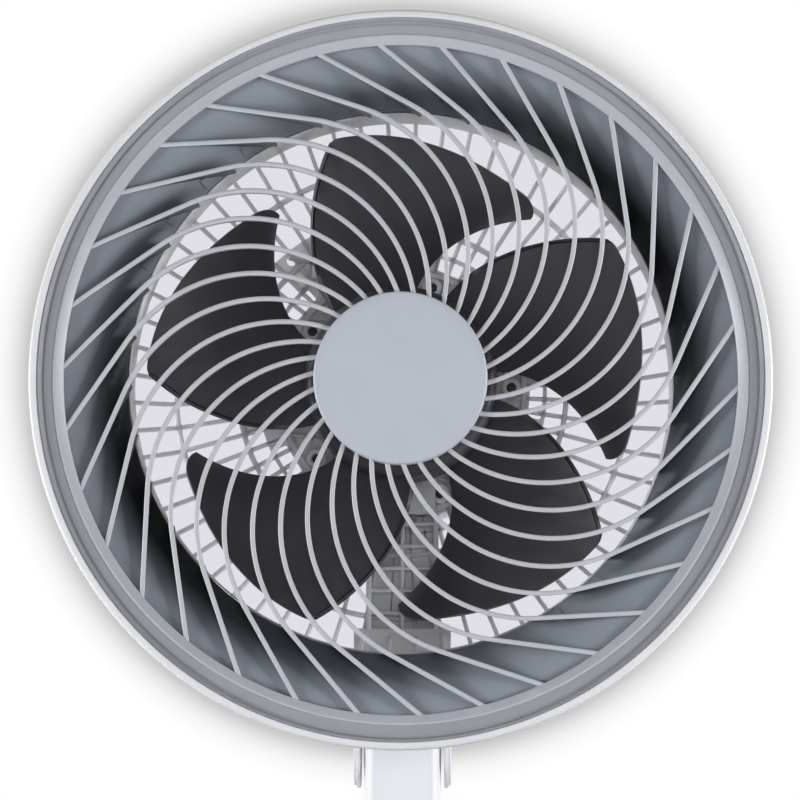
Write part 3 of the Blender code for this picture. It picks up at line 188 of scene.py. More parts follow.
def arc(centre, radius, start, end, steps):
    """Points along a circular arc."""
    return [(centre[0] + radius * math.cos(angle), centre[1] + radius * math.sin(angle))
            for angle in spread(start, end, steps)]


def circle(radius, steps=40, centre=(0.0, 0.0)):
    """A round outline."""
    return arc(centre, radius, 0.0, FULL_TURN * (steps - 1) / steps, steps - 1)


def sector(inner, outer, start, end, steps):
    """Outline of a ring between two angles."""
    return ([on_circle(inner, angle) for angle in spread(start, end, steps)]
            + [on_circle(outer, angle) for angle in spread(end, start, steps)])


def near(place, *rows):
    """Corners given in millimetres from a place: (x, y, fillet radius)."""
    return [(place[0] + x * MM, place[1] + y * MM, fillet * MM) for x, y, fillet in rows]


def rect(inner, outer, front, back, fillets=(0, 0, 0, 0)):
    """Corners of a rectangle between two radii and two depths, with fillets in millimetres."""
    corners = ((inner, front), (outer, front), (outer, back), (inner, back))
    return [(*corner, fillet * MM) for corner, fillet in zip(corners, fillets)]


def rounded(corners, steps=4):
    """A closed outline from (x, y, fillet radius) corners, with round corners as arcs."""
    outline = []
    count = len(corners)
    for i, (x, y, radius) in enumerate(corners):
        if radius <= 0.0:
            outline.append((x, y))
            continue
        here = Vector((x, y))
        to_last = Vector(corners[i - 1][:2]) - here
        to_next = Vector(corners[(i + 1) % count][:2]) - here
        half = to_last.angle(to_next) / 2
        reach = min(radius / math.tan(half), 0.48 * to_last.length, 0.48 * to_next.length)
        inward = (to_last.normalized() + to_next.normalized()).normalized()
        middle = here + inward * (reach / math.cos(half))
        first = here + to_last.normalized() * reach - middle
        last = here + to_next.normalized() * reach - middle
        start = math.atan2(first.y, first.x)
        sweep = (math.atan2(last.y, last.x) - start + math.pi) % FULL_TURN - math.pi
        outline += arc(middle, first.length, start, start + sweep, steps)
    return outline


def rounded_box(width, height, corner, steps=8):
    """Outline of a rectangle with round corners, centred on the origin."""
    x, y = width / 2, height / 2
    return rounded([(x, y, corner), (-x, y, corner), (-x, -y, corner), (x, -y, corner)], steps)


# ---- shapes ----
def placed(name, data):
    """Put data in the scene as a new object."""
    made = bpy.data.objects.new(name, data)
    bpy.context.scene.collection.objects.link(made)
    return made


def evaluated(made):
    """Mesh of an object with its modifiers, or of a drawn curve."""
    return bpy.data.meshes.new_from_object(made.evaluated_get(bpy.context.evaluated_depsgraph_get()))


def finished(mesh, angle=38.0):
    """Smooth shading with sharp creases kept."""
    mesh.shade_smooth()
    mesh.set_sharp_from_angle(angle=angle * DEGREE)
    return mesh


def mesh_from(bm, angle=38.0):
    """Turn a bmesh into a mesh with outward faces."""
    bmesh.ops.recalc_face_normals(bm, faces=bm.faces[:])
    mesh = bpy.data.meshes.new("shape")
    bm.to_mesh(mesh)
    bm.free()
    return finished(mesh, angle)


def turned(profile, steps=192, angle=38.0):
    """Mesh turned about Z from (radius, depth) points; one that starts on the axis is a disc."""
    bm = bmesh.new()
    on_axis = 0.001 * MM
    rings = []
    for radius, depth in profile:
        if radius < on_axis:
            rings.append([bm.verts.new((0.0, 0.0, -depth))] * steps)
        else:
            rings.append([bm.verts.new((*on_circle(radius, spin), -depth)) for spin in around(steps)])
    pairs = list(zip(rings, rings[1:]))
    if profile[0][0] > on_axis:
        pairs.append((rings[-1], rings[0]))
    for upper, lower in pairs:
        for k in range(steps):
            j = (k + 1) % steps
            corners = list(dict.fromkeys((upper[k], lower[k], lower[j], upper[j])))
            if len(corners) > 2:
                bm.faces.new(corners)
    return mesh_from(bm, angle)


def drill(radius, front, back, steps=24):
    """Solid round bar that cuts a hole."""
    return turned([(0.0, front), (radius, front), (radius, back), (0.0, back)], steps)


def plate(outlines, thickness, rounding=0.0, steps=2):
    """Flat plate with holes and rounded edges, centred on z = 0."""
    curve = bpy.data.curves.new("outline", "CURVE")
    curve.dimensions = "2D"
    curve.fill_mode = "BOTH"
    curve.extrude = thickness / 2 - rounding
    curve.bevel_depth = rounding
    curve.bevel_resolution = steps
    curve.offset = -rounding
    for outline in outlines:
        spline = curve.splines.new("POLY")
        spline.points.add(len(outline) - 1)
        for point, (x, y) in zip(spline.points, outline):
            point.co = (x, y, 0.0, 1.0)
        spline.use_cyclic_u = True
    drawn = placed("outline", curve)
    mesh = evaluated(drawn)
    bpy.data.objects.remove(drawn, do_unlink=True)
    bm = bmesh.new()
    bm.from_mesh(mesh)
    bmesh.ops.remove_doubles(bm, verts=bm.verts[:], dist=0.005 * MM)
    return mesh_from(bm)


def boxes(corners, bevel=0.4 * MM, segments=3):
    """Separate boxes, each ((x0, y0, z0), (x1, y1, z1)), with rounded edges, in one mesh."""
    bm = bmesh.new()
    for low, high in corners:
        low, high = Vector(low), Vector(high)
        shape = at(*(low + high) / 2) @ Matrix.Diagonal((*(high - low), 1.0))
        bmesh.ops.create_cube(bm, size=1.0, matrix=shape)
    if bevel > 0.0:
        bmesh.ops.bevel(bm, geom=bm.edges[:], offset=bevel, segments=segments, profile=0.5,
                        affect="EDGES")
    return mesh_from(bm)


def swept(bm, stations):
    """Closed body through stations, each a list of points, with flat ends."""
    rings = [[bm.verts.new(point) for point in station] for station in stations]
    count = len(rings[0])
    for first, second in zip(rings, rings[1:]):
        for i in range(count):
            j = (i + 1) % count
            bm.faces.new((first[i], second[i], second[j], first[j]))
    bm.faces.new(rings[0])
    bm.faces.new(list(reversed(rings[-1])))


def moved(mesh, matrix):
    """The mesh, moved."""
    mesh.transform(matrix)
    return mesh


def joined(parts):
    """One mesh from (mesh, matrix) parts."""
    bm = bmesh.new()
    for mesh, matrix in parts:
        bm.from_mesh(moved(mesh, matrix))
    return mesh_from(bm)


def cut(mesh, cutters):
    """Take cutter meshes out of a mesh."""
    body = placed("body", mesh)
    tools = []
    for cutter in cutters:
        tools.append(placed("cutter", cutter))
        step = body.modifiers.new("cut", "BOOLEAN")
        step.operation = "DIFFERENCE"
        step.solver = "EXACT"
        step.object = tools[-1]
    result = evaluated(body)
    for used in [body, *tools]:
        bpy.data.objects.remove(used, do_unlink=True)
    return finished(result, 30.0)


# ---- materials ----
def shade(colour, tone=1.0):
    """A colour times a tone, with its alpha."""
    return (*[min(1.0, c * tone) for c in colour], 1.0)


class Graph:
    """Shader nodes under construction."""

    def __init__(self, tree):
        self.nodes = tree.nodes
        self.links = tree.links

    def feed(self, socket, value):
        """Link a socket to another, or set its value."""
        if isinstance(value, bpy.types.NodeSocket):
            self.links.new(value, socket)
        else:
            socket.default_value = value

    def node(self, kind, *inputs, **settings):
        """A new node with its settings and its first inputs."""
        made = self.nodes.new("ShaderNode" + kind)
        for name, setting in settings.items():
            setattr(made, name, setting)
        for socket, value in zip(made.inputs, inputs):
            self.feed(socket, value)
        return made

    def vector(self, operation, *inputs):
        """Result of a vector operation."""
        return self.node("VectorMath", *inputs, operation=operation).outputs["Vector"]

    def measure(self, operation, *inputs):
        """Number that a vector operation gives."""
        return self.node("VectorMath", *inputs, operation=operation).outputs["Value"]

    def number(self, operation, *inputs):
        """Result of an operation on numbers."""
        return self.node("Math", *inputs, operation=operation).outputs["Value"]

    def ramp(self, value, low, high, start, end):
        """Map a value's start..end range to low..high."""
        return self.node("MapRange", value, start, end, low, high).outputs["Result"]


class Recipe(Graph):
    """A procedural material under construction."""

    def __init__(self, name, colour, roughness, metallic=0.0, specular=0.5):
        self.material = bpy.data.materials.new(name)
        self.material.use_nodes = True
        super().__init__(self.material.node_tree)
        self.shader = self.nodes["Principled BSDF"]
        self.put("Base Color", shade(colour))
        self.put("Roughness", roughness)
        self.put("Metallic", metallic)
        self.put("Specular IOR Level", specular)
        self.colour = colour
        self.roughness = roughness
        self.coordinate = self.node("TexCoord").outputs["Object"]
        self.normal = None

    def put(self, name, value):
        """Link or set one input of the material's shader."""
        self.feed(self.shader.inputs[name], value)

    def texture(self, kind, values, source=None, **settings):
        """Factor of a texture in the piece's own space."""
        made = self.node(kind, **settings)
        for name, value in {"Vector": source or self.coordinate, **values}.items():
            self.feed(made.inputs[name], value)
        return made.outputs["Fac"]

    def noise(self, scale, detail=3.0, stretch=None):
        """Noise in the piece's own space; stretch scales its axes."""
        source = self.coordinate
        if stretch:
            mapping = self.node("Mapping", source)
            mapping.inputs["Scale"].default_value = stretch
            source = mapping.outputs["Vector"]
        return self.texture("TexNoise", {"Scale": scale, "Detail": detail}, source)

    def mottle(self, scale=55.0):
        """Slow noise over its full range."""
        return self.ramp(self.noise(scale, 4.0), 0.0, 1.0, 0.3, 0.7)

    def blend(self, factor, first, second):
        """Colour the surface between two colours."""
        mix = self.node("Mix", data_type="RGBA")
        for name, value in (("Factor", factor), ("A", first), ("B", second)):
            self.feed(mix.inputs[name], value)
        self.put("Base Color", mix.outputs["Result"])
        return mix.outputs["Result"]

    def vary_colour(self, value, amount):
        """Blend between a darker and a lighter shade of the colour."""
        return self.blend(value, shade(self.colour, 1.0 - amount), shade(self.colour, 1.0 + amount))

    def vary_roughness(self, value, amount):
        """Roughness that wanders around its own value."""
        self.put("Roughness", self.ramp(value, self.roughness - amount, self.roughness + amount, 0.3, 0.7))

    def bump(self, value, strength, distance):
        """Add a layer of relief."""
        layer = self.node("Bump")
        for name, setting in (("Strength", strength), ("Distance", distance), ("Height", value)):
            self.feed(layer.inputs[name], setting)
        if self.normal:
            self.links.new(self.normal, layer.inputs["Normal"])
        self.normal = layer.outputs["Normal"]
        self.put("Normal", self.normal)

    def grain(self, strength):
        """Fine spark grain, in roughness and relief."""
        self.vary_roughness(self.noise(420.0), 0.05)
        self.bump(self.noise(5200.0, 2.0), strength, 0.05 * MM)

    def edges(self, most):
        """How sharp the surface is at a point, from 0 on flats to most on edges."""
        pointed = self.node("NewGeometry").outputs["Pointiness"]
        return self.ramp(self.ramp(pointed, 0.0, 1.0, 0.52, 0.62), 0.0, most, 0.0, 1.0)


def moulded(name, colour, roughness, grain=0.12, mottle=0.04, edge=0.12, specular=0.5):
    """Injection-moulded plastic: fine grain, slow mottling and a painted highlight that lightens sharp edges.
    """
    recipe = Recipe(name, colour, roughness, specular=specular)
    tone = recipe.vary_colour(recipe.mottle(), mottle)
    # painted highlight: the colour turns lighter on sharp edges
    if edge > 0.0:
        recipe.blend(recipe.edges(edge), tone, shade([c * 1.5 + 0.06 for c in colour]))
    recipe.grain(grain)
    recipe.bump(recipe.noise(160.0, 2.0), grain * 0.4, 0.2 * MM)
    return recipe.material


def painted_shade_funnel(name, colour, throat_tone, lit_tone, rim_tone):
    """Funnel plastic with painted shade: its tone deepens towards the throat, least along the line of
    LIT_ANGLE, where painted light keeps it lighter.
    """
    recipe = Recipe(name, colour, 0.6, specular=0.3)
    flat = recipe.vector("MULTIPLY", recipe.coordinate, (1.0, 1.0, 0.0))
    radius = recipe.measure("LENGTH", flat)
    # painted shade: 0 at the throat, rising to 1 near the band
    tone = recipe.ramp(radius, 0.0, 1.0, THROAT_RADIUS + 6 * MM, BAND_INNER - MM)
    painted_shade_and_mottle = recipe.number("MULTIPLY_ADD", recipe.noise(55.0, 4.0), 0.06, tone)
    # painted light: along the line of LIT_ANGLE the throat takes lit_tone, across it throat_tone
    lit_line = (*on_circle(1.0, LIT_ANGLE), 0.0)
    along = recipe.measure("DOT_PRODUCT", recipe.vector("NORMALIZE", flat), lit_line)
    share = recipe.number("MULTIPLY", along, along)
    throat = recipe.blend(share, shade(colour, throat_tone), shade(colour, lit_tone))
    recipe.blend(painted_shade_and_mottle, throat, shade(colour, rim_tone))
    recipe.grain(0.05)
    return recipe.material


def thin_moulding(name, colour):
    """Thin pale plastic that lets some light through."""
    recipe = Recipe(name, colour, 0.42)
    recipe.put("Subsurface Weight", 1.0)
    recipe.put("Subsurface Radius", (1.0, 1.0, 1.0))
    recipe.put("Subsurface Scale", 3 * MM)
    recipe.vary_colour(recipe.mottle(), 0.03)
    recipe.grain(0.08)
    return recipe.material


def metal(name, colour, roughness, stretch=(1.0, 1.0, 60.0), scratch=0.15):
    """Machined or plated metal with fine tool marks."""
    recipe = Recipe(name, colour, roughness, metallic=1.0)
    recipe.vary_colour(recipe.mottle(90.0), 0.08)
    marks = recipe.noise(500.0, 4.0, stretch)
    recipe.vary_roughness(marks, 0.10)
    recipe.bump(marks, scratch, 0.04 * MM)
    return recipe.material


def wound_copper():
    """Enamelled wire, as fine turns."""
    recipe = Recipe("wound_copper", (0.72, 0.35, 0.18), 0.32, metallic=0.9)
    turns = recipe.texture("TexWave", {"Scale": 650.0, "Distortion": 1.2},
                           wave_type="RINGS", rings_direction="Z")
    recipe.vary_colour(turns, 0.3)
    recipe.bump(turns, 0.7, 0.2 * MM)
    return recipe.material


def circuit_board():
    """Solder mask with faint traces under it."""
    recipe = Recipe("circuit_board", (0.02, 0.16, 0.07), 0.35)
    traces = recipe.texture("TexBrick", {"Scale": 160.0, "Mortar Size": 0.03})
    recipe.vary_colour(traces, 0.35)
    recipe.bump(traces, 0.4, 0.05 * MM)
    return recipe.material


def rubber(name, colour):
    """Soft rubber with a powdery bloom."""
    recipe = Recipe(name, colour, 0.8, specular=0.3)
    recipe.vary_colour(recipe.ramp(recipe.noise(220.0, 5.0), 0.0, 1.0, 0.35, 0.7), 0.35)
    recipe.bump(recipe.noise(2600.0), 0.3, 0.08 * MM)
    return recipe.material


def smoked_lens():
    """Glossy smoked plastic with the faintest orange peel."""
    recipe = Recipe("smoked_lens", (0.012, 0.012, 0.014), 0.06)
    recipe.put("Coat Weight", 0.6)
    recipe.put("Coat Roughness", 0.04)
    recipe.vary_colour(recipe.noise(60.0), 0.2)
    recipe.bump(recipe.noise(300.0, 1.0), 0.03, 0.1 * MM)
    return recipe.material


FUNNEL_GREY = (0.150, 0.165, 0.190)
EVEN = (1.0, 1.0, 1.0)
LOOKS = {
    "white_plastic": moulded("white_moulding", (0.70, 0.705, 0.73), 0.42, 0.015, 0.015, 0.10, 0.35),
    "grey_plastic": moulded("grille_moulding", (0.47, 0.48, 0.52), 0.38, 0.08, 0.03, 0.15),
    "cap_plastic": moulded("cap_moulding", (0.45, 0.48, 0.54), 0.42, 0.10, 0.02, 0.3),
    # funnel: painted shade near black at the throat, painted light along LIT_ANGLE and towards the rim
    "funnel_plastic": painted_shade_funnel("funnel_painted_shade", FUNNEL_GREY, 0.01, 1.4, 1.62),
    "blade_plastic": moulded("blade_moulding", (0.075, 0.073, 0.084), 0.42, 0.10, 0.06, 0.10),
    "lattice_plastic": thin_moulding("lattice_moulding", (0.86, 0.84, 0.88)),
    "black_plastic": moulded("black_moulding", (0.012, 0.012, 0.013), 0.5, 0.15, 0.15, 0.05),
    "gear_plastic": moulded("gear_moulding", (0.72, 0.71, 0.66), 0.35, 0.05, 0.02, 0.2),
    "steel": metal("plated_steel", (0.60, 0.61, 0.63), 0.30),
    "bell_metal": metal("cast_bell", (0.58, 0.59, 0.60), 0.48, EVEN, 0.4),
    "winding_copper": wound_copper(),
    "weight_iron": metal("steel_plate", (0.30, 0.30, 0.31), 0.55, EVEN, 0.35),
    "board_green": circuit_board(),
    "lens_black": smoked_lens(),
    "foot_rubber": rubber("foot_rubber", (0.018, 0.018, 0.019)),
}
# rim and band: darker copies of the grille grey as painted shade, the rim darker than the band
BAND_PAINTED_SHADE_LOOK = moulded("grille_band_painted_shade", (0.43, 0.44, 0.48), 0.36, 0.08, 0.02, 0.10)
RIM_PAINTED_SHADE_LOOK = moulded("grille_rim_painted_shade", (0.28, 0.285, 0.315), 0.36, 0.08, 0.03, 0.10)
# fins: the funnel's painted shade, darker again, so the fins read as in shadow
FIN_PAINTED_SHADE_LOOK = painted_shade_funnel("fin_painted_shade", FUNNEL_GREY, 0.04, 1.0, 0.5)
KEY_LOOK = moulded("key_moulding", (0.40, 0.42, 0.45), 0.40, 0.12, 0.03, 0.3)
MARK_LOOK = moulded("mark_paint", (0.75, 0.76, 0.78), 0.45, 0.05, 0.02, 0.0)


def paint(mesh, look):
    """Give a mesh one material."""
    mesh.materials.clear()
    mesh.materials.append(look)


for subpart in frame["record"]["subparts"]:
    paint(frame["nodes"][subpart["node"]].data, LOOKS[subpart["material_slot"]])


def piece(name, mesh, slot, body, replaced=(), place=FAN, look=None):
    """Put a finished mesh in the scene, on its body and in its material slot."""
    mesh.name = name
    paint(mesh, look or LOOKS[slot])
    made = placed(name, mesh)
    made.matrix_world = place
    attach(made, body)
    if replaced:
        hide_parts(*replaced)
    return made


# ---- head: housing and duct ----
def head_housing():
    """White ring shell with a rolled front lip, a parting line and a curved back."""
    opening = LATTICE_EDGE + GAP
    shoulder = opening + 3 * MM
    wide, deep = HEAD_RADIUS - shoulder, HOUSING_DEPTH - HOUSING_STRAIGHT

    def quarter(inset):
        points = [on_circle(1.0, angle) for angle in spread(0.0, QUARTER_TURN, 24)]
        return [(shoulder + (wide - inset) * x, HOUSING_STRAIGHT + (deep - inset) * y, 0.0)
                for x, y in points]

    corners = near((LIP_INNER, 0), (0, 0.5, 0), (0.3, 0, 0.3))
    corners += near((HEAD_RADIUS, 0), (0, 0, 1.5), (0, 12.65, 0.1), (-0.35, 13, 0),
                    (0, 13.35, 0.1))
    corners += quarter(0.0)
    corners += [(opening, HOUSING_DEPTH, 0.4 * MM), (opening, HOUSING_DEPTH - HOUSING_WALL, 0.4 * MM)]
    corners += reversed(quarter(HOUSING_WALL))
    corners += [(HEAD_RADIUS - HOUSING_WALL, 3 * MM, 0.0), (LIP_INNER, 3 * MM, 0.0)]
    piece("outer_housing", turned(rounded(corners, 5), 256), "white_plastic", "head", ["head_housing"])


def cone_depth(radius):
    """Depth of the flared surface, which steepens towards the throat."""
    share = (BAND_INNER - radius) / (BAND_INNER - THROAT_RADIUS)
    return CONE_DEPTH + FLARE_DROP * max(0.0, share) ** 2


def duct():
    """Flared funnel and throat, with a small tab beside the foot of each vane."""
    wall = DUCT_WALL
    flare = spread(THROAT_RADIUS, BAND_INNER, 20)
    corners = [(DUCT_LIP, CONE_DEPTH), (DUCT_LIP, CONE_DEPTH + wall)]
    corners += [(radius + 0.5 * wall, cone_depth(radius) + wall) for radius in reversed(flare)]
    corners += [(THROAT_RADIUS + wall, THROAT_DEPTH + 2 * wall), (THROAT_RADIUS + wall, DUCT_REAR),
                (THROAT_RADIUS, DUCT_REAR)]
    corners += [(radius, cone_depth(radius)) for radius in flare]
    piece("air_duct", turned(corners, 256), "funnel_plastic", "head", ["duct_cone"])

    inner, outer = THROAT_RADIUS + 0.9 * MM, THROAT_RADIUS + 3.6 * MM
    half, sunk, rise = 3.2 * MM, -0.2 * MM, 0.6 * MM
    bm = bmesh.new()
    for middle in around(VANE_COUNT, vane_turn(inner) + 2.4 * DEGREE):
        swept(bm, [[(*on_circle(radius, middle + side * half / radius), -cone_depth(radius) + lift)
                    for side, lift in ((-1, sunk), (1, sunk), (1, rise), (-1, rise))]
                   for radius in (inner, outer)])
    piece("duct_tabs", mesh_from(bm), "funnel_plastic", "head")


# ---- head: front grille ----
def vane_turn(radius):
    """How far a vane has turned at a radius: an arc as far as the throat, then its tangent."""
    def on_arc(r):
        cosine = (r ** 2 + VANE_ARC_CENTRE ** 2 - VANE_ARC_RADIUS ** 2) / (2 * r * VANE_ARC_CENTRE)
        return VANE_PHASE - math.acos(min(1.0, max(-1.0, cosine)))
    if radius <= THROAT_RADIUS:
        return on_arc(radius)
    reach = (THROAT_RADIUS ** 2 - VANE_ARC_CENTRE ** 2 + VANE_ARC_RADIUS ** 2) / (2 * VANE_ARC_RADIUS)
    return on_arc(THROAT_RADIUS) + math.acos(reach / radius) - math.acos(reach / THROAT_RADIUS)


def vane_path(radius, spin):
    """Point of a vane's middle line on the fan's face, and the direction across the vane."""
    step = 0.05 * MM
    here = Vector(on_circle(radius, vane_turn(radius) + spin))
    ahead = Vector(on_circle(radius + step, vane_turn(radius + step) + spin))
    along = (ahead - here).normalized()
    return here, Vector((-along.y, along.x))


def vane_section(front, thickness, width):
    """Round-nosed section as (across, depth) points."""
    half = width / 2
    root, back, corner = 0.65 * half, front + thickness, 0.2 * MM
    nose = [(half * x, front + 0.4 * half * (1.0 - y)) for x, y in arc((0.0, 0.0), 1.0, 0.0, math.pi, 8)]
    return nose + [(-root, back - corner), (-root + corner, back), (root - corner, back),
                   (root, back - corner)]


def vane_front(radius):
    """Depth of the vanes' noses, which lean forward towards the rim."""
    share = (radius - BOSS_RADIUS) / (BAND_INNER - BOSS_RADIUS)
    return BOSS_DEPTH + (BAND_DEPTH - BOSS_DEPTH) * share


def spirals(sections):
    """All the spiral bars of one kind, from (radius, section) stations."""
    bm = bmesh.new()
    for spin in around(VANE_COUNT):
        stations = []
        for radius, section in sections:
            here, across = vane_path(radius, spin)
            stations.append([(*(here + across * u), -depth) for u, depth in section])
        swept(bm, stations)
    return mesh_from(bm, 50.0)


def vane_stations():
    """Stations of a vane: deep as far as the throat, then only its pale front part."""
    step_in, step_out = THROAT_RADIUS - 3 * MM, THROAT_RADIUS + 0.3 * MM
    radii = spread(BOSS_RADIUS - 1.5 * MM, step_in, 34)[:-1] + spread(step_in, step_out, 4)[:-1]
    stations = []
    for radius in radii + spread(step_out, BAND_INNER + 0.8 * MM, 10):
        front = vane_front(radius)
        room = cone_depth(max(radius, step_out)) - GAP - front
        blend = min(1.0, max(0.0, (radius - step_in) / (step_out - step_in)))
        thickness = VANE_DEPTH + (min(VANE_CAP, room) - VANE_DEPTH) * blend
        stations.append((radius, vane_section(front, thickness, VANE_WIDTH)))
    return stations


def fin_stations():
    """Stations of the fin that stands on the funnel behind a vane, painted dark as shade."""
    stations = []
    for radius in spread(THROAT_RADIUS - 1.5 * MM, BAND_INNER - 1.5 * MM, 12):
        top = vane_front(radius) + VANE_CAP - 0.3 * MM
        foot = cone_depth(max(radius, THROAT_RADIUS)) + 0.5 * MM
        stations.append((radius, vane_section(top, max(0.8 * MM, foot - top), FIN_WIDTH)))
    return stations


def front_grille():
    """Stepped rim and lighter inner band, both painted-shade copies of the grille grey; round-nosed spiral
    vanes with deep fins painted in the funnel's shade; and the boss.
    """
    rim = near((BEAD_OUTER, RIM_DEPTH), (0, 3, 0.3))
    rim += near((BEAD_OUTER, 0), (0, 0.6, 0.3), (-0.8, 0.8, 0.4))
    rim += near((BEAD_OUTER, RIM_DEPTH), (-1.5, 0.3, 0.4), (-2.6, 0.1, 0.4))
    rim += near((BAND_OUTER, RIM_DEPTH), (0.1, 0.5, 0), (0.1, 3, 0.3))
    band = near((BAND_OUTER, RIM_DEPTH), (0.1, 3, 0.2), (0.1, 0.1, 0.4), (-0.7, 0.1, 0.5))
    band += near((BAND_INNER, BAND_DEPTH), (0, 0, 0.6), (0, 1.7, 0.3))
    boss = [(0.0, BOSS_DEPTH, 0.0)]
    boss += near((BOSS_RADIUS, BOSS_DEPTH), (0, 0, 0.5), (0, 4.5, 0.5), (-1.6, 4.5, 0.3), (-1.6, 2, 0.3))
    boss += [(0.0, BOSS_DEPTH + 2 * MM, 0.0)]
    for name, mesh, slot, replaced, look in (
            ("grille_rim", turned(rounded(rim, 5)[::-1], 256), "grey_plastic", ["front_grille"], RIM_PAINTED_SHADE_LOOK),
            ("grille_band", turned(rounded(band, 5)[::-1], 256), "grey_plastic", (), BAND_PAINTED_SHADE_LOOK),
            ("grille_vanes", spirals(vane_stations()), "grey_plastic", (), None),
            ("duct_fins", spirals(fin_stations()), "funnel_plastic", (), FIN_PAINTED_SHADE_LOOK),
            ("grille_boss", turned(rounded(boss), 160), "grey_plastic", (), None)):
        piece(name, mesh, slot, "head", replaced, look=look)


def centre_cap():
    """Plain disc, very slightly crowned, with a soft bevelled edge."""
    crown, bend = 0.25 * MM, 0.7 * MM
    edge = CAP_RADIUS - 0.9 * MM
    profile = [(edge * share, CAP_FRONT + crown * share ** 2) for share in spread(0.0, 1.0, 12)]
    bend_centre = (CAP_RADIUS - bend, CAP_FRONT + crown + 0.75 * MM)
    profile += arc(bend_centre, bend, -QUARTER_TURN, 0.0, 6)
    profile += [(CAP_RADIUS, CAP_BACK), (0.0, CAP_BACK)]
    piece("centre_cap", turned(profile, 192, 60.0), "cap_plastic", "head", ["grille_cap"])


# ---- head: impeller ----
def blade_point(chord, span):
    """Middle surface of a blade: chord runs from the rear edge to the front edge."""
    rear = ROOT_ANGLES[0] + (TIP_ANGLES[0] - ROOT_ANGLES[0]) * span ** 1.25
    front = ROOT_ANGLES[1] + (TIP_ANGLES[1] - ROOT_ANGLES[1]) * span ** 1.1
    rear_depth = ROOT_DEPTHS[0] + (TIP_DEPTHS[0] - ROOT_DEPTHS[0]) * span
    front_depth = ROOT_DEPTHS[1] + (TIP_DEPTHS[1] - ROOT_DEPTHS[1]) * span
    root = HUB_RADIUS - HUB_WALL / 2
    sweep = chord ** 2 * (3.0 - 2.0 * chord)
    tip = BLADE_REAR_TIP + (BLADE_FRONT_TIP - BLADE_REAR_TIP) * sweep
    for corner, reach, amount in ((0.0, 0.09, 5.5 * MM), (1.0, 0.05, 3 * MM)):
        close = max(0.0, 1.0 - abs(chord - corner) / reach)
        tip -= amount * (1.0 - math.sqrt(max(0.0, 1.0 - close ** 2)))
    x, y = on_circle(root + (tip - root) * span, rear + (front - rear) * chord)
    camber = 3 * MM * math.sin(math.pi * chord)
    return Vector((x, y, camber - rear_depth - (front_depth - rear_depth) * chord))


def impeller():
    """Hub cup, and five swept blades with rounded edges."""
    axis, inside = (0.0, HUB_FRONT), (HUB_RADIUS - HUB_WALL, HUB_FRONT)
    hub = near(axis, (3.3, 0, 0.3)) + near((HUB_RADIUS, HUB_FRONT), (0, 0, 3.5), (0, 30, 0.5))
    hub += near(inside, (0, 30, 0.5), (0, 3.5, 1.5))
    hub += near(axis, (6.5, 2, 1), (6.5, 30, 0.3), (3.3, 30, 0.3))
    piece("impeller_hub", turned(rounded(hub, 6), 160), "blade_plastic", "fan", ["impeller"])

    chords = [0.5 - 0.5 * math.cos(t) for t in spread(0.0, math.pi, 40)]
    spans = spread(0.0, 1.0, 24)
    bm = bmesh.new()
    for angle in around(BLADE_COUNT):
        spin = Matrix.Rotation(angle, 3, "Z")
        rows = [[bm.verts.new(spin @ blade_point(chord, span)) for span in spans] for chord in chords]
        for first, second in zip(rows, rows[1:]):
            for j in range(len(spans) - 1):
                bm.faces.new((first[j], first[j + 1], second[j + 1], second[j]))
    mesh = bpy.data.meshes.new("impeller_blades")
    bm.to_mesh(mesh)
    bm.free()
    mesh.shade_smooth()
    blades = piece("impeller_blades", mesh, "blade_plastic", "fan")
    solid = blades.modifiers.new("thickness", "SOLIDIFY")
    solid.thickness = BLADE_THICKNESS
    solid.offset = 0.0
    edge = blades.modifiers.new("edge", "BEVEL")
    edge.width = 0.7 * MM
    edge.segments = 3
    edge.limit_method = "ANGLE"
    edge.angle_limit = 60 * DEGREE


# ---- head: rear lattice ----
def lattice_path():
    """(radius, depth) points of a rib's front, bent smoothly where the flat turns up."""
    corners = [(PLATE_RADIUS - MM, FLAT_DEPTH, 0.0), (LATTICE_FLAT, FLAT_DEPTH, 5 * MM),
               (LATTICE_INNER_EDGE + MM, LATTICE_FRONT + 0.6 * MM, 0.0), (LATTICE_EDGE, -1.0, 0.0)]
    return rounded(corners, 6)[:-1]


def rear_lattice():
    """Radial ribs, rings and a collar in the throat."""
    path = lattice_path()
    bm = bmesh.new()
    half = RIB_WIDTH / 2
    section = rounded(rect(half, -half, 0.0, RIB_THICKNESS, (0.5, 0.5, 0.3, 0.3)), 3)
    for angle in around(RIB_COUNT, FULL_TURN / RIB_COUNT / 2):
        outward = Vector((*on_circle(1.0, angle), 0.0))
        across = Vector((-outward.y, outward.x, 0.0))
        stations = []
        for i, (radius, depth) in enumerate(path):
            before, after = path[max(0, i - 1)], path[min(len(path) - 1, i + 1)]
            along = (Vector(after) - Vector(before)).normalized()
            stations.append([outward * (radius - along.y * v) + across * u
                             + Vector((0.0, 0.0, -depth - along.x * v)) for u, v in section])
        swept(bm, stations)
    piece("lattice_ribs", mesh_from(bm), "lattice_plastic", "head", ["rear_grille"])

    flat = (FLAT_DEPTH - 0.2 * MM, LATTICE_BACK)
    rings = []
    for inner, outer, (front, back), steps in (
            (INNER_RING - MM, INNER_RING + MM, flat, 192),
            (OUTER_RING - MM, OUTER_RING + MM, flat, 192),
            (LATTICE_INNER_EDGE, LATTICE_EDGE, (LATTICE_FRONT, LATTICE_FRONT + RIB_THICKNESS), 256),
            (THROAT_RADIUS - 0.9 * MM, THROAT_RADIUS - 0.2 * MM,
             (THROAT_DEPTH + 1.5 * MM, LATTICE_FRONT + MM), 256)):
        ring = rounded(rect(inner, outer, front, back, (0.5, 0.5, 0.3, 0.3)), 3)
        rings.append((turned(ring, steps), UNMOVED))
    piece("lattice_rings", joined(rings), "lattice_plastic", "head")


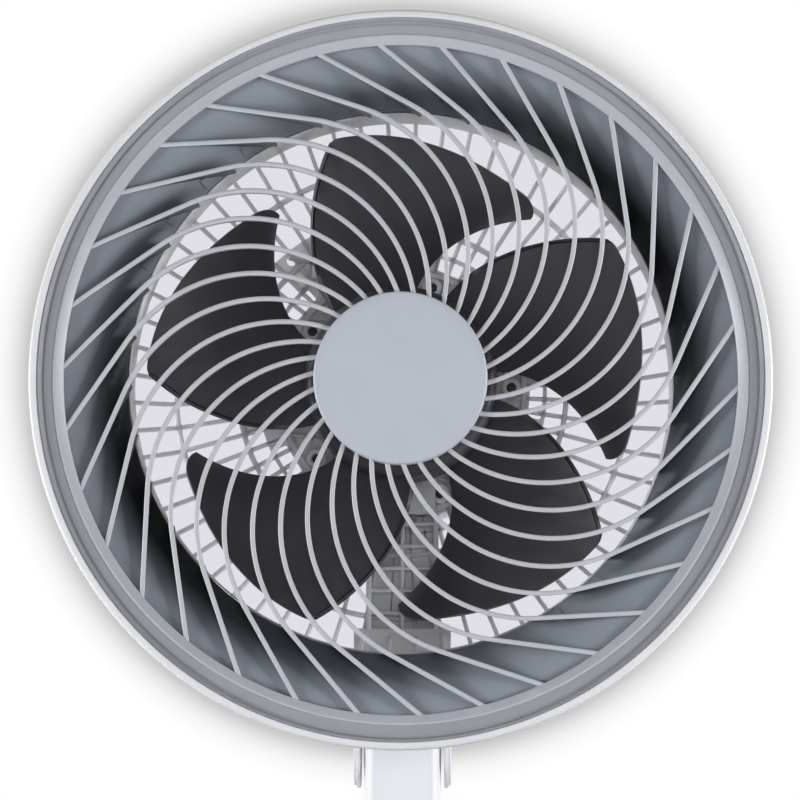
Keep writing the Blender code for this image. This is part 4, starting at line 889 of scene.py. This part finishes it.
def plate_outlines():
    """The mounting plate's edge, its bore, its windows and its screw and pin holes."""
    outlines = [circle(SKIRT_RADIUS, 150), circle(8 * MM)]
    half, inner, outer = 7 * DEGREE, 46.5 * MM, 51 * MM
    for middle in around(PLATE_BOSSES, 67.5 * DEGREE):
        window = [on_circle(inner, middle + half), on_circle(inner, middle - half)]
        window += [on_circle(outer, angle) for angle in spread(middle - half, middle + half, 6)]
        outlines.append(rounded([(x, y, 0.5 * MM) for x, y in window], 3))
    pitch = FULL_TURN / PLATE_BOSSES
    for angle in around(PLATE_BOSSES, BOSS_PHASE):
        outlines.append(circle(1.7 * MM, 20, on_circle(BOSS_CIRCLE, angle)))
        for share in (0.35, 0.65):
            outlines.append(circle(2.2 * MM, 24, on_circle(41 * MM, angle + share * pitch)))
    return outlines


def slanted_bar(low, high, radius, angle, lean):
    """A small rib on the plate at a radius and angle, given in millimetres along its own axes."""
    mesh = boxes([[[v * MM for v in corner] for corner in (low, high)]], 0.2 * MM, 2)
    return mesh, at(*on_circle(radius, angle), -FLAT_DEPTH) @ turn(angle + lean * DEGREE, "Z")


def mounting_plate():
    """Plate in the middle of the lattice: windows, a ring of webs, crossing ribs and blind bosses."""
    at_depth = at(z=-FLAT_DEPTH - RIB_THICKNESS / 2)
    parts = [(plate(plate_outlines(), RIB_THICKNESS, 0.3 * MM), at_depth)]
    web_thickness, web_rounding = 1.4 * MM, 0.2 * MM
    pitch = FULL_TURN / RIB_COUNT
    for k, start in enumerate(around(10, pitch / 2)):
        outline = sector(SKIRT_RADIUS - 0.5 * MM, INNER_RING - 0.5 * MM, start, start + 2 * pitch, 2)
        hole = circle(1.6 * MM, 24, on_circle(55.8 * MM, start + pitch))
        web = [outline, hole] if k % 2 else [outline]
        parts.append((plate(web, web_thickness, web_rounding), at_depth))

    inner, outer, start, end = SKIRT_RADIUS - MM, 66.5 * MM, 115.5 * DEGREE, 134.5 * DEGREE
    middle = (start + end) / 2
    holes = [circle(1.8 * MM, 24, on_circle(63 * MM, middle + side * 5 * DEGREE)) for side in (-1, 1)]
    gusset = plate([sector(inner, outer, start, end, 6), *holes], web_thickness, web_rounding)
    parts.append((gusset, at_depth))
    for lean in (-45.0, 45.0):
        parts.append(slanted_bar((-8.5, -0.6, -0.5), (8.5, 0.6, 0.4),
                                 (inner + outer) / 2 - MM, middle, lean))
    cross_count = 20
    for angle in around(cross_count, FULL_TURN / cross_count / 2):
        for lean in (-38.0, 38.0):
            parts.append(slanted_bar((-7.5, -0.5, -0.3), (7.5, 0.5, 0.9), 37 * MM, angle, lean))

    collar = near((0, FLAT_DEPTH), (1.8, -1.6, 0.2), (3.6, -1.6, 0.4), (3.8, 0.5, 0), (1.8, 0.5, 0))
    for angle in around(PLATE_BOSSES, BOSS_PHASE):
        parts.append((turned(rounded(collar, 3), 40), at(*on_circle(BOSS_CIRCLE, angle))))
    rim = rect(PLATE_RADIUS - 1.8 * MM, PLATE_RADIUS, FLAT_DEPTH - MM, FLAT_DEPTH + MM, (0.3, 0.4, 0, 0))
    parts.append((turned(rounded(rim, 3), 160), UNMOVED))
    piece("lattice_plate", joined(parts), "lattice_plastic", "head")

    front = LATTICE_BACK + 0.1 * MM
    gasket = rounded(rect(9 * MM, PLATE_RADIUS - 3 * MM, front, front + 0.35 * MM))
    piece("mount_gasket", turned(gasket, 96), "black_plastic", "head")


# ---- head: pod and bracket ----
def motor_pod():
    """Cover over the motor: turned shell notched for the arm, and a slotted vent disc in its back."""
    corners = near((POD_RADIUS, POD_FRONT), (-2, 0, 0.4), (0, 0, 0.6))
    corners += near((POD_RADIUS, POD_BACK), (0, -1.5, 9), (-9, 0, 9))
    corners += near((VENT_RADIUS + GAP, POD_BACK), (0, 0, 0.5), (0, -2, 0.2))
    corners += near((POD_RADIUS, POD_BACK), (-10, -2, 5), (-2, -10, 6))
    notch = boxes([((-ARM_HALF - GAP, -POD_RADIUS - 2 * MM, -POD_FRONT - ARM_THICKNESS - GAP),
                    (ARM_HALF + GAP, -POD_RADIUS / 2, -POD_FRONT + MM))], 0.0)
    holes = [moved(drill(SCREW_HOLE, POD_BACK - 9 * MM, POD_BACK + MM), at(x=side * 33 * MM))
             for side in (-1, 1)]
    shell = turned(rounded(corners, 10), 160)
    piece("motor_cover", cut(shell, [notch, *holes]), "white_plastic", "head", ["motor_pod"])

    pitch = 4 * MM
    outlines = [circle(VENT_RADIUS, 120)]
    for level in spread(-5 * pitch, 5 * pitch, 10):
        reach = math.sqrt((VENT_RADIUS - 3.5 * MM) ** 2 - level ** 2)
        slot = rounded_box(2 * reach, 1.9 * MM, 0.9 * MM, 4)
        outlines.append([(x, y + level) for x, y in slot])
    vent = moved(plate(outlines, 1.8 * MM, 0.3 * MM), at(z=-POD_BACK + MM))
    piece("pod_vent", vent, "white_plastic", "head")


def neck_bracket():
    """Ribbed arm behind the lattice, and the fork whose two-layer cheeks hold the column."""
    front, back = BRACKET_FRONT, BRACKET_FRONT + ARM_THICKNESS
    bottom, web_bottom = PIN_Z + 29 * MM, PIN_Z + 17 * MM
    pod_bottom = AXIS_Z - POD_RADIUS
    low, high, wall = bottom - MM, pod_bottom + 2 * MM, 1.8 * MM
    arm = [((-ARM_HALF, back - 3 * MM, low), (ARM_HALF, back, high)),
           ((-ARM_HALF, front, low), (-ARM_HALF + wall, back - MM, high)),
           ((ARM_HALF - wall, front, low), (ARM_HALF, back - MM, high)),
           ((-0.8 * MM, front + MM, low), (0.8 * MM, back - MM, high)),
           ((-ARM_HALF + MM, front, pod_bottom + MM), (ARM_HALF - MM, front + 4 * MM, AXIS_Z - 24 * MM)),
           ((-CHEEK_OUTER, front, web_bottom), (CHEEK_OUTER, back, bottom))]
    rib_count, rib_half = 5, 0.7 * MM
    for k in range(rib_count):
        level = bottom + (pod_bottom - bottom) * (k + 0.7) / rib_count
        arm.append(((-ARM_HALF + MM, front + 0.6 * MM, level - rib_half),
                    (ARM_HALF - MM, back - MM, level + rib_half)))
    parts = [(boxes(arm, 0.45 * MM), UNMOVED)]
    for middle in (-15.2 * MM, 15.2 * MM):
        stiffener = [((middle - 1.1 * MM, back - 0.5 * MM, web_bottom + 2 * MM),
                      (middle + 1.1 * MM, back + MM, bottom - MM))]
        parts.append((boxes(stiffener), UNMOVED))
    disc = rect(8 * MM, 40 * MM, POD_FRONT, POD_FRONT + 4 * MM, (0.4, 0.5, 0.5, 0.4))
    parts.append((turned(rounded(disc), 120), FAN))

    low, radius, top, shoulder = -28 * MM, 9.5 * MM, 29 * MM, 19 * MM
    for side in (-1, 1):
        for inset, thickness, layer in ((0.0, 1.5 * MM, CHEEK_OUTER - 1.75 * MM),
                                        (0.9 * MM, 1.2 * MM, CHEEK_OUTER - 0.6 * MM)):
            outline = arc((0.5 * MM, low + radius), radius - inset, math.pi, FULL_TURN, 28)
            outline += [(10 * MM - inset, top - inset), (MM, top - inset),
                        (-9 * MM + inset, shoulder - inset)]
            cheek = plate([outline, circle(PIN_HOLE)], thickness, 0.35 * MM, 3)
            parts.append((cheek, at(side * layer, 0.0, PIN_Z) @ UPRIGHT))
    piece("neck_bracket", joined(parts), "white_plastic", "head", ["head_bracket"], UNMOVED)


# ---- screws and pin ----
def screw(node, facing, body):
    """Pan-head screw with a cross recess, in place of a node; facing is the way its head looks."""
    low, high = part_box(node)
    middle = middle_of(node)
    head, down = (high.x - low.x) / 2, facing == "down"
    length = high.z - low.z if down else high.y - low.y
    top = {"front": (middle.x, low.y, middle.z), "back": (middle.x, high.y, middle.z),
           "down": (middle.x, middle.y, low.z)}[facing]
    heading = {"front": turn(QUARTER_TURN, "X"), "back": turn(-QUARTER_TURN, "X"), "down": turn(math.pi, "X")}
    core, crest, thread = 1.2 * MM, 1.45 * MM, 0.6 * MM
    profile = [(head * math.sin(t), 0.9 * MM * (1.0 - math.cos(t))) for t in spread(0.0, QUARTER_TURN, 8)]
    profile += [(head, 1.4 * MM), (crest, 1.5 * MM)]
    for k in range(int((length - 2.5 * MM) / thread)):
        start = 1.8 * MM + k * thread
        profile += [(core, start), (crest, start + thread / 2)]
    profile += [(MM, length), (0.0, length)]
    arm, width = 1.5 * MM, 0.4 * MM
    cross = [(arm, width), (width, width), (width, arm), (-width, arm), (-width, width), (-arm, width)]
    cross += [(-x, -y) for x, y in cross]
    mesh = cut(turned(profile, 32), [plate([cross], 1.8 * MM)])
    piece(f"{node}_detail", mesh, "steel", body, [node], at(*top) @ heading[facing])


def screws():
    """Every screw of the frame."""
    for k in (1, 2, 3):
        screw(f"motor_screw_{k}", "front", "head")
        screw(f"weight_screw_{k}", "down", "base")
    for k in (1, 2):
        screw(f"pod_screw_{k}", "back", "head")
        screw(f"column_screw_{k}", "back", "neck")


def hexagon(radius):
    """Six corners on a circle."""
    return [on_circle(radius, angle) for angle in around(6)]


def tilt_pin():
    """Polished pin with a domed, hex-socketed head, and its hex nut."""
    low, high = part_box("tilt_pin")
    radius, length = (high.z - low.z) / 2, high.x - low.x
    sideways = turn(QUARTER_TURN, "Y")
    profile = [(0.0, 0.0, 0.0)] + near((radius, 0), (0, 0, 1), (0, 2, 0.2)) + near((0, 0), (3, 2, 0))
    profile += [(3 * MM, length, 0.5 * MM), (0.0, length, 0.0)]
    pin = cut(turned(rounded(profile, 5), 64), [plate([hexagon(1.9 * MM)], 2.4 * MM)])
    piece("hinge_pin", pin, "steel", "neck", ["tilt_pin"], at(high.x, 0.0, PIN_Z) @ sideways)
    low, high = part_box("tilt_nut")
    nut = plate([hexagon((high.z - low.z) / 2), circle(3.1 * MM)], high.x - low.x, 0.3 * MM)
    piece("hinge_nut", nut, "steel", "neck", ["tilt_nut"], at((low.x + high.x) / 2, 0.0, PIN_Z) @ sideways)


# ---- column ----
def column():
    """Two fine half shells with a shadow line between them, and the round hinge block."""
    width, depth = COLUMN_HIGH.x - COLUMN_LOW.x, COLUMN_HIGH.y - COLUMN_LOW.y
    corner, wall, split = 5 * MM, 2 * MM, 0.2 * MM
    height, level = COLUMN_HIGH.z - COLUMN_LOW.z, (COLUMN_HIGH.z + COLUMN_LOW.z) / 2
    outer = rounded_box(width, depth, corner, 10)
    inner = rounded_box(width - 2 * wall, depth - 2 * wall, corner - wall, 10)
    half = len(outer) // 2
    outline = [(-width / 2, -split)] + outer[half:] + [(width / 2, -split), (width / 2 - wall, -split)]
    outline += inner[half:][::-1] + [(-width / 2 + wall, -split)]
    front = plate([outline], height, 0.25 * MM)
    piece("column_shell_front", front, "white_plastic", "neck", ["column_front"], at(z=level))
    rear = plate([[(-x, -y) for x, y in outline]], height, 0.25 * MM)
    holes = [moved(drill(SCREW_HOLE, -20 * MM, MM),
                   at(z=middle_of(f"column_screw_{k}").z - level) @ turn(-QUARTER_TURN, "X")) for k in (1, 2)]
    piece("column_shell_rear", cut(rear, holes), "white_plastic", "neck", ["column_rear"], at(z=level))

    radius, bottom = BLOCK_HIGH.z - PIN_Z, COLUMN_HIGH.z + GAP - PIN_Z
    outline = [(-radius, bottom), (radius, bottom)] + arc((0.0, 0.0), radius, 0.0, math.pi, 40)
    knuckle = plate([outline, circle(PIN_HOLE)], BLOCK_HIGH.x - BLOCK_LOW.x, 0.8 * MM, 3)
    piece("hinge_knuckle", knuckle, "white_plastic", "neck", ["hinge_block"], at(z=PIN_Z) @ UPRIGHT)


# ---- base ----
def base():
    """Top shell with its shoulder, trim groove and pierced control field; window, inlet and feet."""
    top, bottom = BASE_HIGH.z, BASE_LOW.z
    rim, edge, foot = (0.0, -top), (BASE_RADIUS, -top), (BASE_RADIUS, -bottom)
    corners = near(rim, (8.6, 0, 0.3))
    corners += near(edge, (-13.5, 0, 0.15), (-13, 0.4, 0), (-12.5, 0, 0.15), (0, 0, 9))
    corners += near(foot, (0, -6, 0.1), (-0.4, -5.6, 0), (0, -5.2, 0.1), (0, 0, 0.6),
                    (-2.2, 0, 0.4))
    corners += near(edge, (-2.2, 2.2, 6.8)) + near(rim, (8.6, 2.2, 0.3))
    cutters = []
    for name, _ in KEYS:
        middle = middle_of(name)
        cutters.append(moved(drill(5.8 * MM, -top - 2 * MM, -top + 4 * MM, 64), at(middle.x, middle.y)))
    low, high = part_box("display_lens")
    middle, wide, tall = middle_of("display_lens"), high.x - low.x, high.y - low.y
    window = plate([rounded_box(wide + 2 * GAP, tall + 2 * GAP, 1.2 * MM)], 8 * MM)
    cutters.append(moved(window, at(middle.x, middle.y, top)))
    inlet_low, inlet_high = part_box("power_inlet")
    cutters.append(boxes([((inlet_low.x - GAP, inlet_low.y, inlet_low.z - GAP),
                           (inlet_high.x + GAP, BASE_RADIUS + 2 * MM, inlet_high.z + GAP))], 0.0))
    shell = turned(rounded(corners, 12), 192)
    piece("base_shell", cut(shell, cutters), "white_plastic", "base", ["base_top"], UNMOVED)

    lens = plate([rounded_box(wide, tall, MM)], high.z - low.z, 0.25 * MM)
    piece("display_window", lens, "lens_black", "base", ["display_lens"], at(*middle))
    inlet(inlet_low, inlet_high)
    for k in (1, 2, 3, 4):
        node = f"rubber_foot_{k}"
        low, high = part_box(node)
        middle, radius, height = middle_of(node), (high.x - low.x) / 2, high.z - low.z
        corners = [(0.0, -height, 0.0), (radius, -height, 0.2 * MM)]
        corners += near((radius, 0), (0, 0, 0.7), (-1.6, 0, 0.2), (-2, -0.5, 0.3))
        corners += near((0, 0), (0, -0.5, 0))
        piece(f"foot_pad_{k}", turned(rounded(corners), 64), "foot_rubber", "base", [node],
              at(middle.x, middle.y))


def inlet(low, high):
    """Barrel socket with its round bore and centre pin."""
    middle = (low + high) / 2
    mouth = at(middle.x, high.y, middle.z) @ turn(-QUARTER_TURN, "X")
    bore = moved(drill(3.1 * MM, -MM, 9 * MM, 48), mouth)
    socket = cut(boxes([(low, high)], 0.5 * MM), [bore])
    piece("dc_socket", socket, "black_plastic", "base", ["power_inlet"], UNMOVED)
    pin = rounded(rect(0.0, MM, 1.5 * MM, 9.5 * MM, (0, 0.5, 0, 0)))
    piece("dc_socket_pin", turned(pin, 32), "steel", "base", (), mouth)


def key_marks():
    """Plain raised marks, one per key: a ring, three bars, a double arc and a clock hand."""
    centre, outer, inner, half_bar, bar_foot = (0.0, 0.0), 2 * MM, 1.5 * MM, 0.35 * MM, -1.6 * MM
    ring = [circle(outer), circle(inner)]
    bars = [[(x - half_bar, bar_foot), (x + half_bar, bar_foot), (x + half_bar, y), (x - half_bar, y)]
            for x, y in ((-1.5 * MM, -0.4 * MM), (0.0, 0.6 * MM), (1.5 * MM, 1.6 * MM))]
    bows = [arc(centre, outer, start, end, 16) + arc(centre, inner, end, start, 16)
            for start, end in ((-40 * DEGREE, 40 * DEGREE), (140 * DEGREE, 220 * DEGREE))]
    hands = near(centre, (-0.25, -0.2, 0), (0.9, -0.2, 0), (0.9, 0.2, 0), (0.2, 0.2, 0),
                 (0.2, 1.1, 0), (-0.25, 1.1, 0))
    return ring, bars, bows, ring + [rounded(hands)]


def keys():
    """Dished round keys with raised marks."""
    radius, skirt, stem, bend = 5.5 * MM, 3.5 * MM, 2 * MM, 0.7 * MM
    for (node, body), marks in zip(KEYS, key_marks()):
        low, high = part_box(node)
        flange, height = (high.x - low.x) / 2, high.z - low.z
        place = at(middle_of(node).x, middle_of(node).y, high.z)
        profile = [(4.3 * MM * share, 0.35 * MM * (1.0 - share ** 2)) for share in spread(0.0, 1.0, 8)]
        profile += arc((radius - bend, bend), bend, -QUARTER_TURN, 0.0, 6)
        profile += [(radius, skirt), (flange, skirt), (flange, skirt + MM), (stem, skirt + MM),
                    (stem, height), (0.0, height)]
        name = node.replace("button", "key")
        piece(name, turned(profile, 72, 50.0), "grey_plastic", body, [node], place, KEY_LOOK)
        mark = moved(plate(marks, 0.3 * MM), at(z=-0.28 * MM))
        piece(f"{name}_mark", mark, "white_plastic", body, (), place, MARK_LOOK)


# ---- stage, light and camera ----
HEAD_CENTRE = Vector((0.0, FRONT_Y, AXIS_Z))
EYE_DISTANCE = 1.25
EYE_BELOW = 6.5 * DEGREE
EYE_RIGHT = 1 * DEGREE
EYE_LENS = 161.3
AIM_BELOW_AXIS = 8.6 * MM
# the painted shadow round the head is centred this far below its axis
SHADOW_HALO_BELOW_AXIS = 1.4 * MM
DARK_SIDE, BRIGHT_SIDE = 0.02, 1.0      # ambient light from behind the head and from in front of it
LAMP_OFF_AXIS = 69 * DEGREE
LAMP_DISTANCE = 1.2


def facing(made, place, aim):
    """Put a camera or lamp at a place, turned to its aim."""
    made.location = place
    made.rotation_mode = "QUATERNION"
    made.rotation_quaternion = (aim - made.location).to_track_quat("-Z", "Y")


def camera():
    """Long lens in front of the head, a little below its axis."""
    data = bpy.data.cameras.new("camera")
    data.lens = EYE_LENS
    data.sensor_width = 36.0
    data.clip_start, data.clip_end = 0.05, 60.0
    eye = placed("camera", data)
    level = math.cos(EYE_BELOW)
    away = Vector((math.sin(EYE_RIGHT) * level, -math.cos(EYE_RIGHT) * level, -math.sin(EYE_BELOW)))
    facing(eye, HEAD_CENTRE + away * EYE_DISTANCE, HEAD_CENTRE - Vector((0.0, 0.0, AIM_BELOW_AXIS)))
    bpy.context.scene.camera = eye
    return eye


def lights():
    """Two soft boxes raking the face from left and right, and a weak one in front."""
    reach, ahead = LAMP_DISTANCE * math.sin(LAMP_OFF_AXIS), -LAMP_DISTANCE * math.cos(LAMP_OFF_AXIS)
    for name, offset, size, power in (("left", (-reach, ahead, -0.04), 0.36, 12.6),
                                      ("right", (reach, ahead, 0.04), 0.36, 12.2),
                                      ("front", (0.1, -2.2, 0.1), 0.8, 7.0)):
        data = bpy.data.lights.new(name, "AREA")
        data.shape = "SQUARE"
        data.size = size
        data.energy = power
        lamp = placed(name, data)
        lamp.visible_camera = False
        facing(lamp, HEAD_CENTRE + Vector(offset), HEAD_CENTRE)


def backdrop(eye):
    """White surround with a painted soft shadow in a grey zone behind the head, and ambient light from in
    front.
    """
    world = bpy.data.worlds.new("studio")
    bpy.context.scene.world = world
    world.use_nodes = True
    graph = Graph(world.node_tree)
    graph.nodes.clear()
    around_us = graph.node("TexCoord").outputs["Generated"]
    split = graph.node("SeparateXYZ", around_us)
    fade = graph.ramp(split.outputs["Y"], DARK_SIDE, BRIGHT_SIDE, -0.05, 0.45)
    ambient = graph.node("Background", (0.95, 0.96, 1.0, 1.0), fade)

    shadow_halo_centre = HEAD_CENTRE - Vector((0.0, 0.0, SHADOW_HALO_BELOW_AXIS))
    distance = graph.measure("DISTANCE", around_us, (shadow_halo_centre - eye.location).normalized())
    shadow_halo_reach = 1.25 * HEAD_RADIUS / EYE_DISTANCE
    ramp = graph.node("ValToRGB", graph.number("DIVIDE", distance, shadow_halo_reach))
    # painted shadow: pale grey inside the head's outline, then grey rings round it fading to white
    inside = (0.75, 0.74, 0.80)
    shadow_greys = ((0.79, 0.57), (0.80, 0.60), (0.811, 0.70), (0.82, 0.77), (0.835, 0.87), (0.85, 0.935),
             (0.88, 1.0))
    stops = [(0.0, inside), (0.72, inside)] + [(place, (grey, grey, grey)) for place, grey in shadow_greys]
    while len(ramp.color_ramp.elements) < len(stops):
        ramp.color_ramp.elements.new(0.5)
    for element, (place, colour) in zip(ramp.color_ramp.elements, stops):
        element.position = place
        element.color = (*colour, 1.0)
    seen = graph.node("Background", ramp.outputs["Color"], 1.0)
    seen_by_camera = graph.node("LightPath").outputs["Is Camera Ray"]
    mix = graph.node("MixShader", seen_by_camera, ambient.outputs["Background"], seen.outputs["Background"])
    graph.node("OutputWorld", mix.outputs["Shader"])


def floor():
    """Pale floor that fades into the surround."""
    bm = bmesh.new()
    bmesh.ops.create_circle(bm, cap_ends=True, segments=96, radius=1.6)
    ground = placed("floor", mesh_from(bm))
    ground.location = (0.0, 0.0, -0.2 * MM)
    recipe = Recipe("floor", (0.86, 0.87, 0.88), 0.7, specular=0.2)
    recipe.put("Alpha", recipe.ramp(recipe.measure("LENGTH", recipe.coordinate), 1.0, 0.0, 0.5, 1.4))
    paint(ground.data, recipe.material)


for build in (head_housing, duct, front_grille, centre_cap, impeller, rear_lattice, mounting_plate, motor_pod,
              neck_bracket, screws, tilt_pin, column, base, keys, floor):
    build()
backdrop(camera())
lights()
bpy.context.scene.view_settings.view_transform = "Standard"
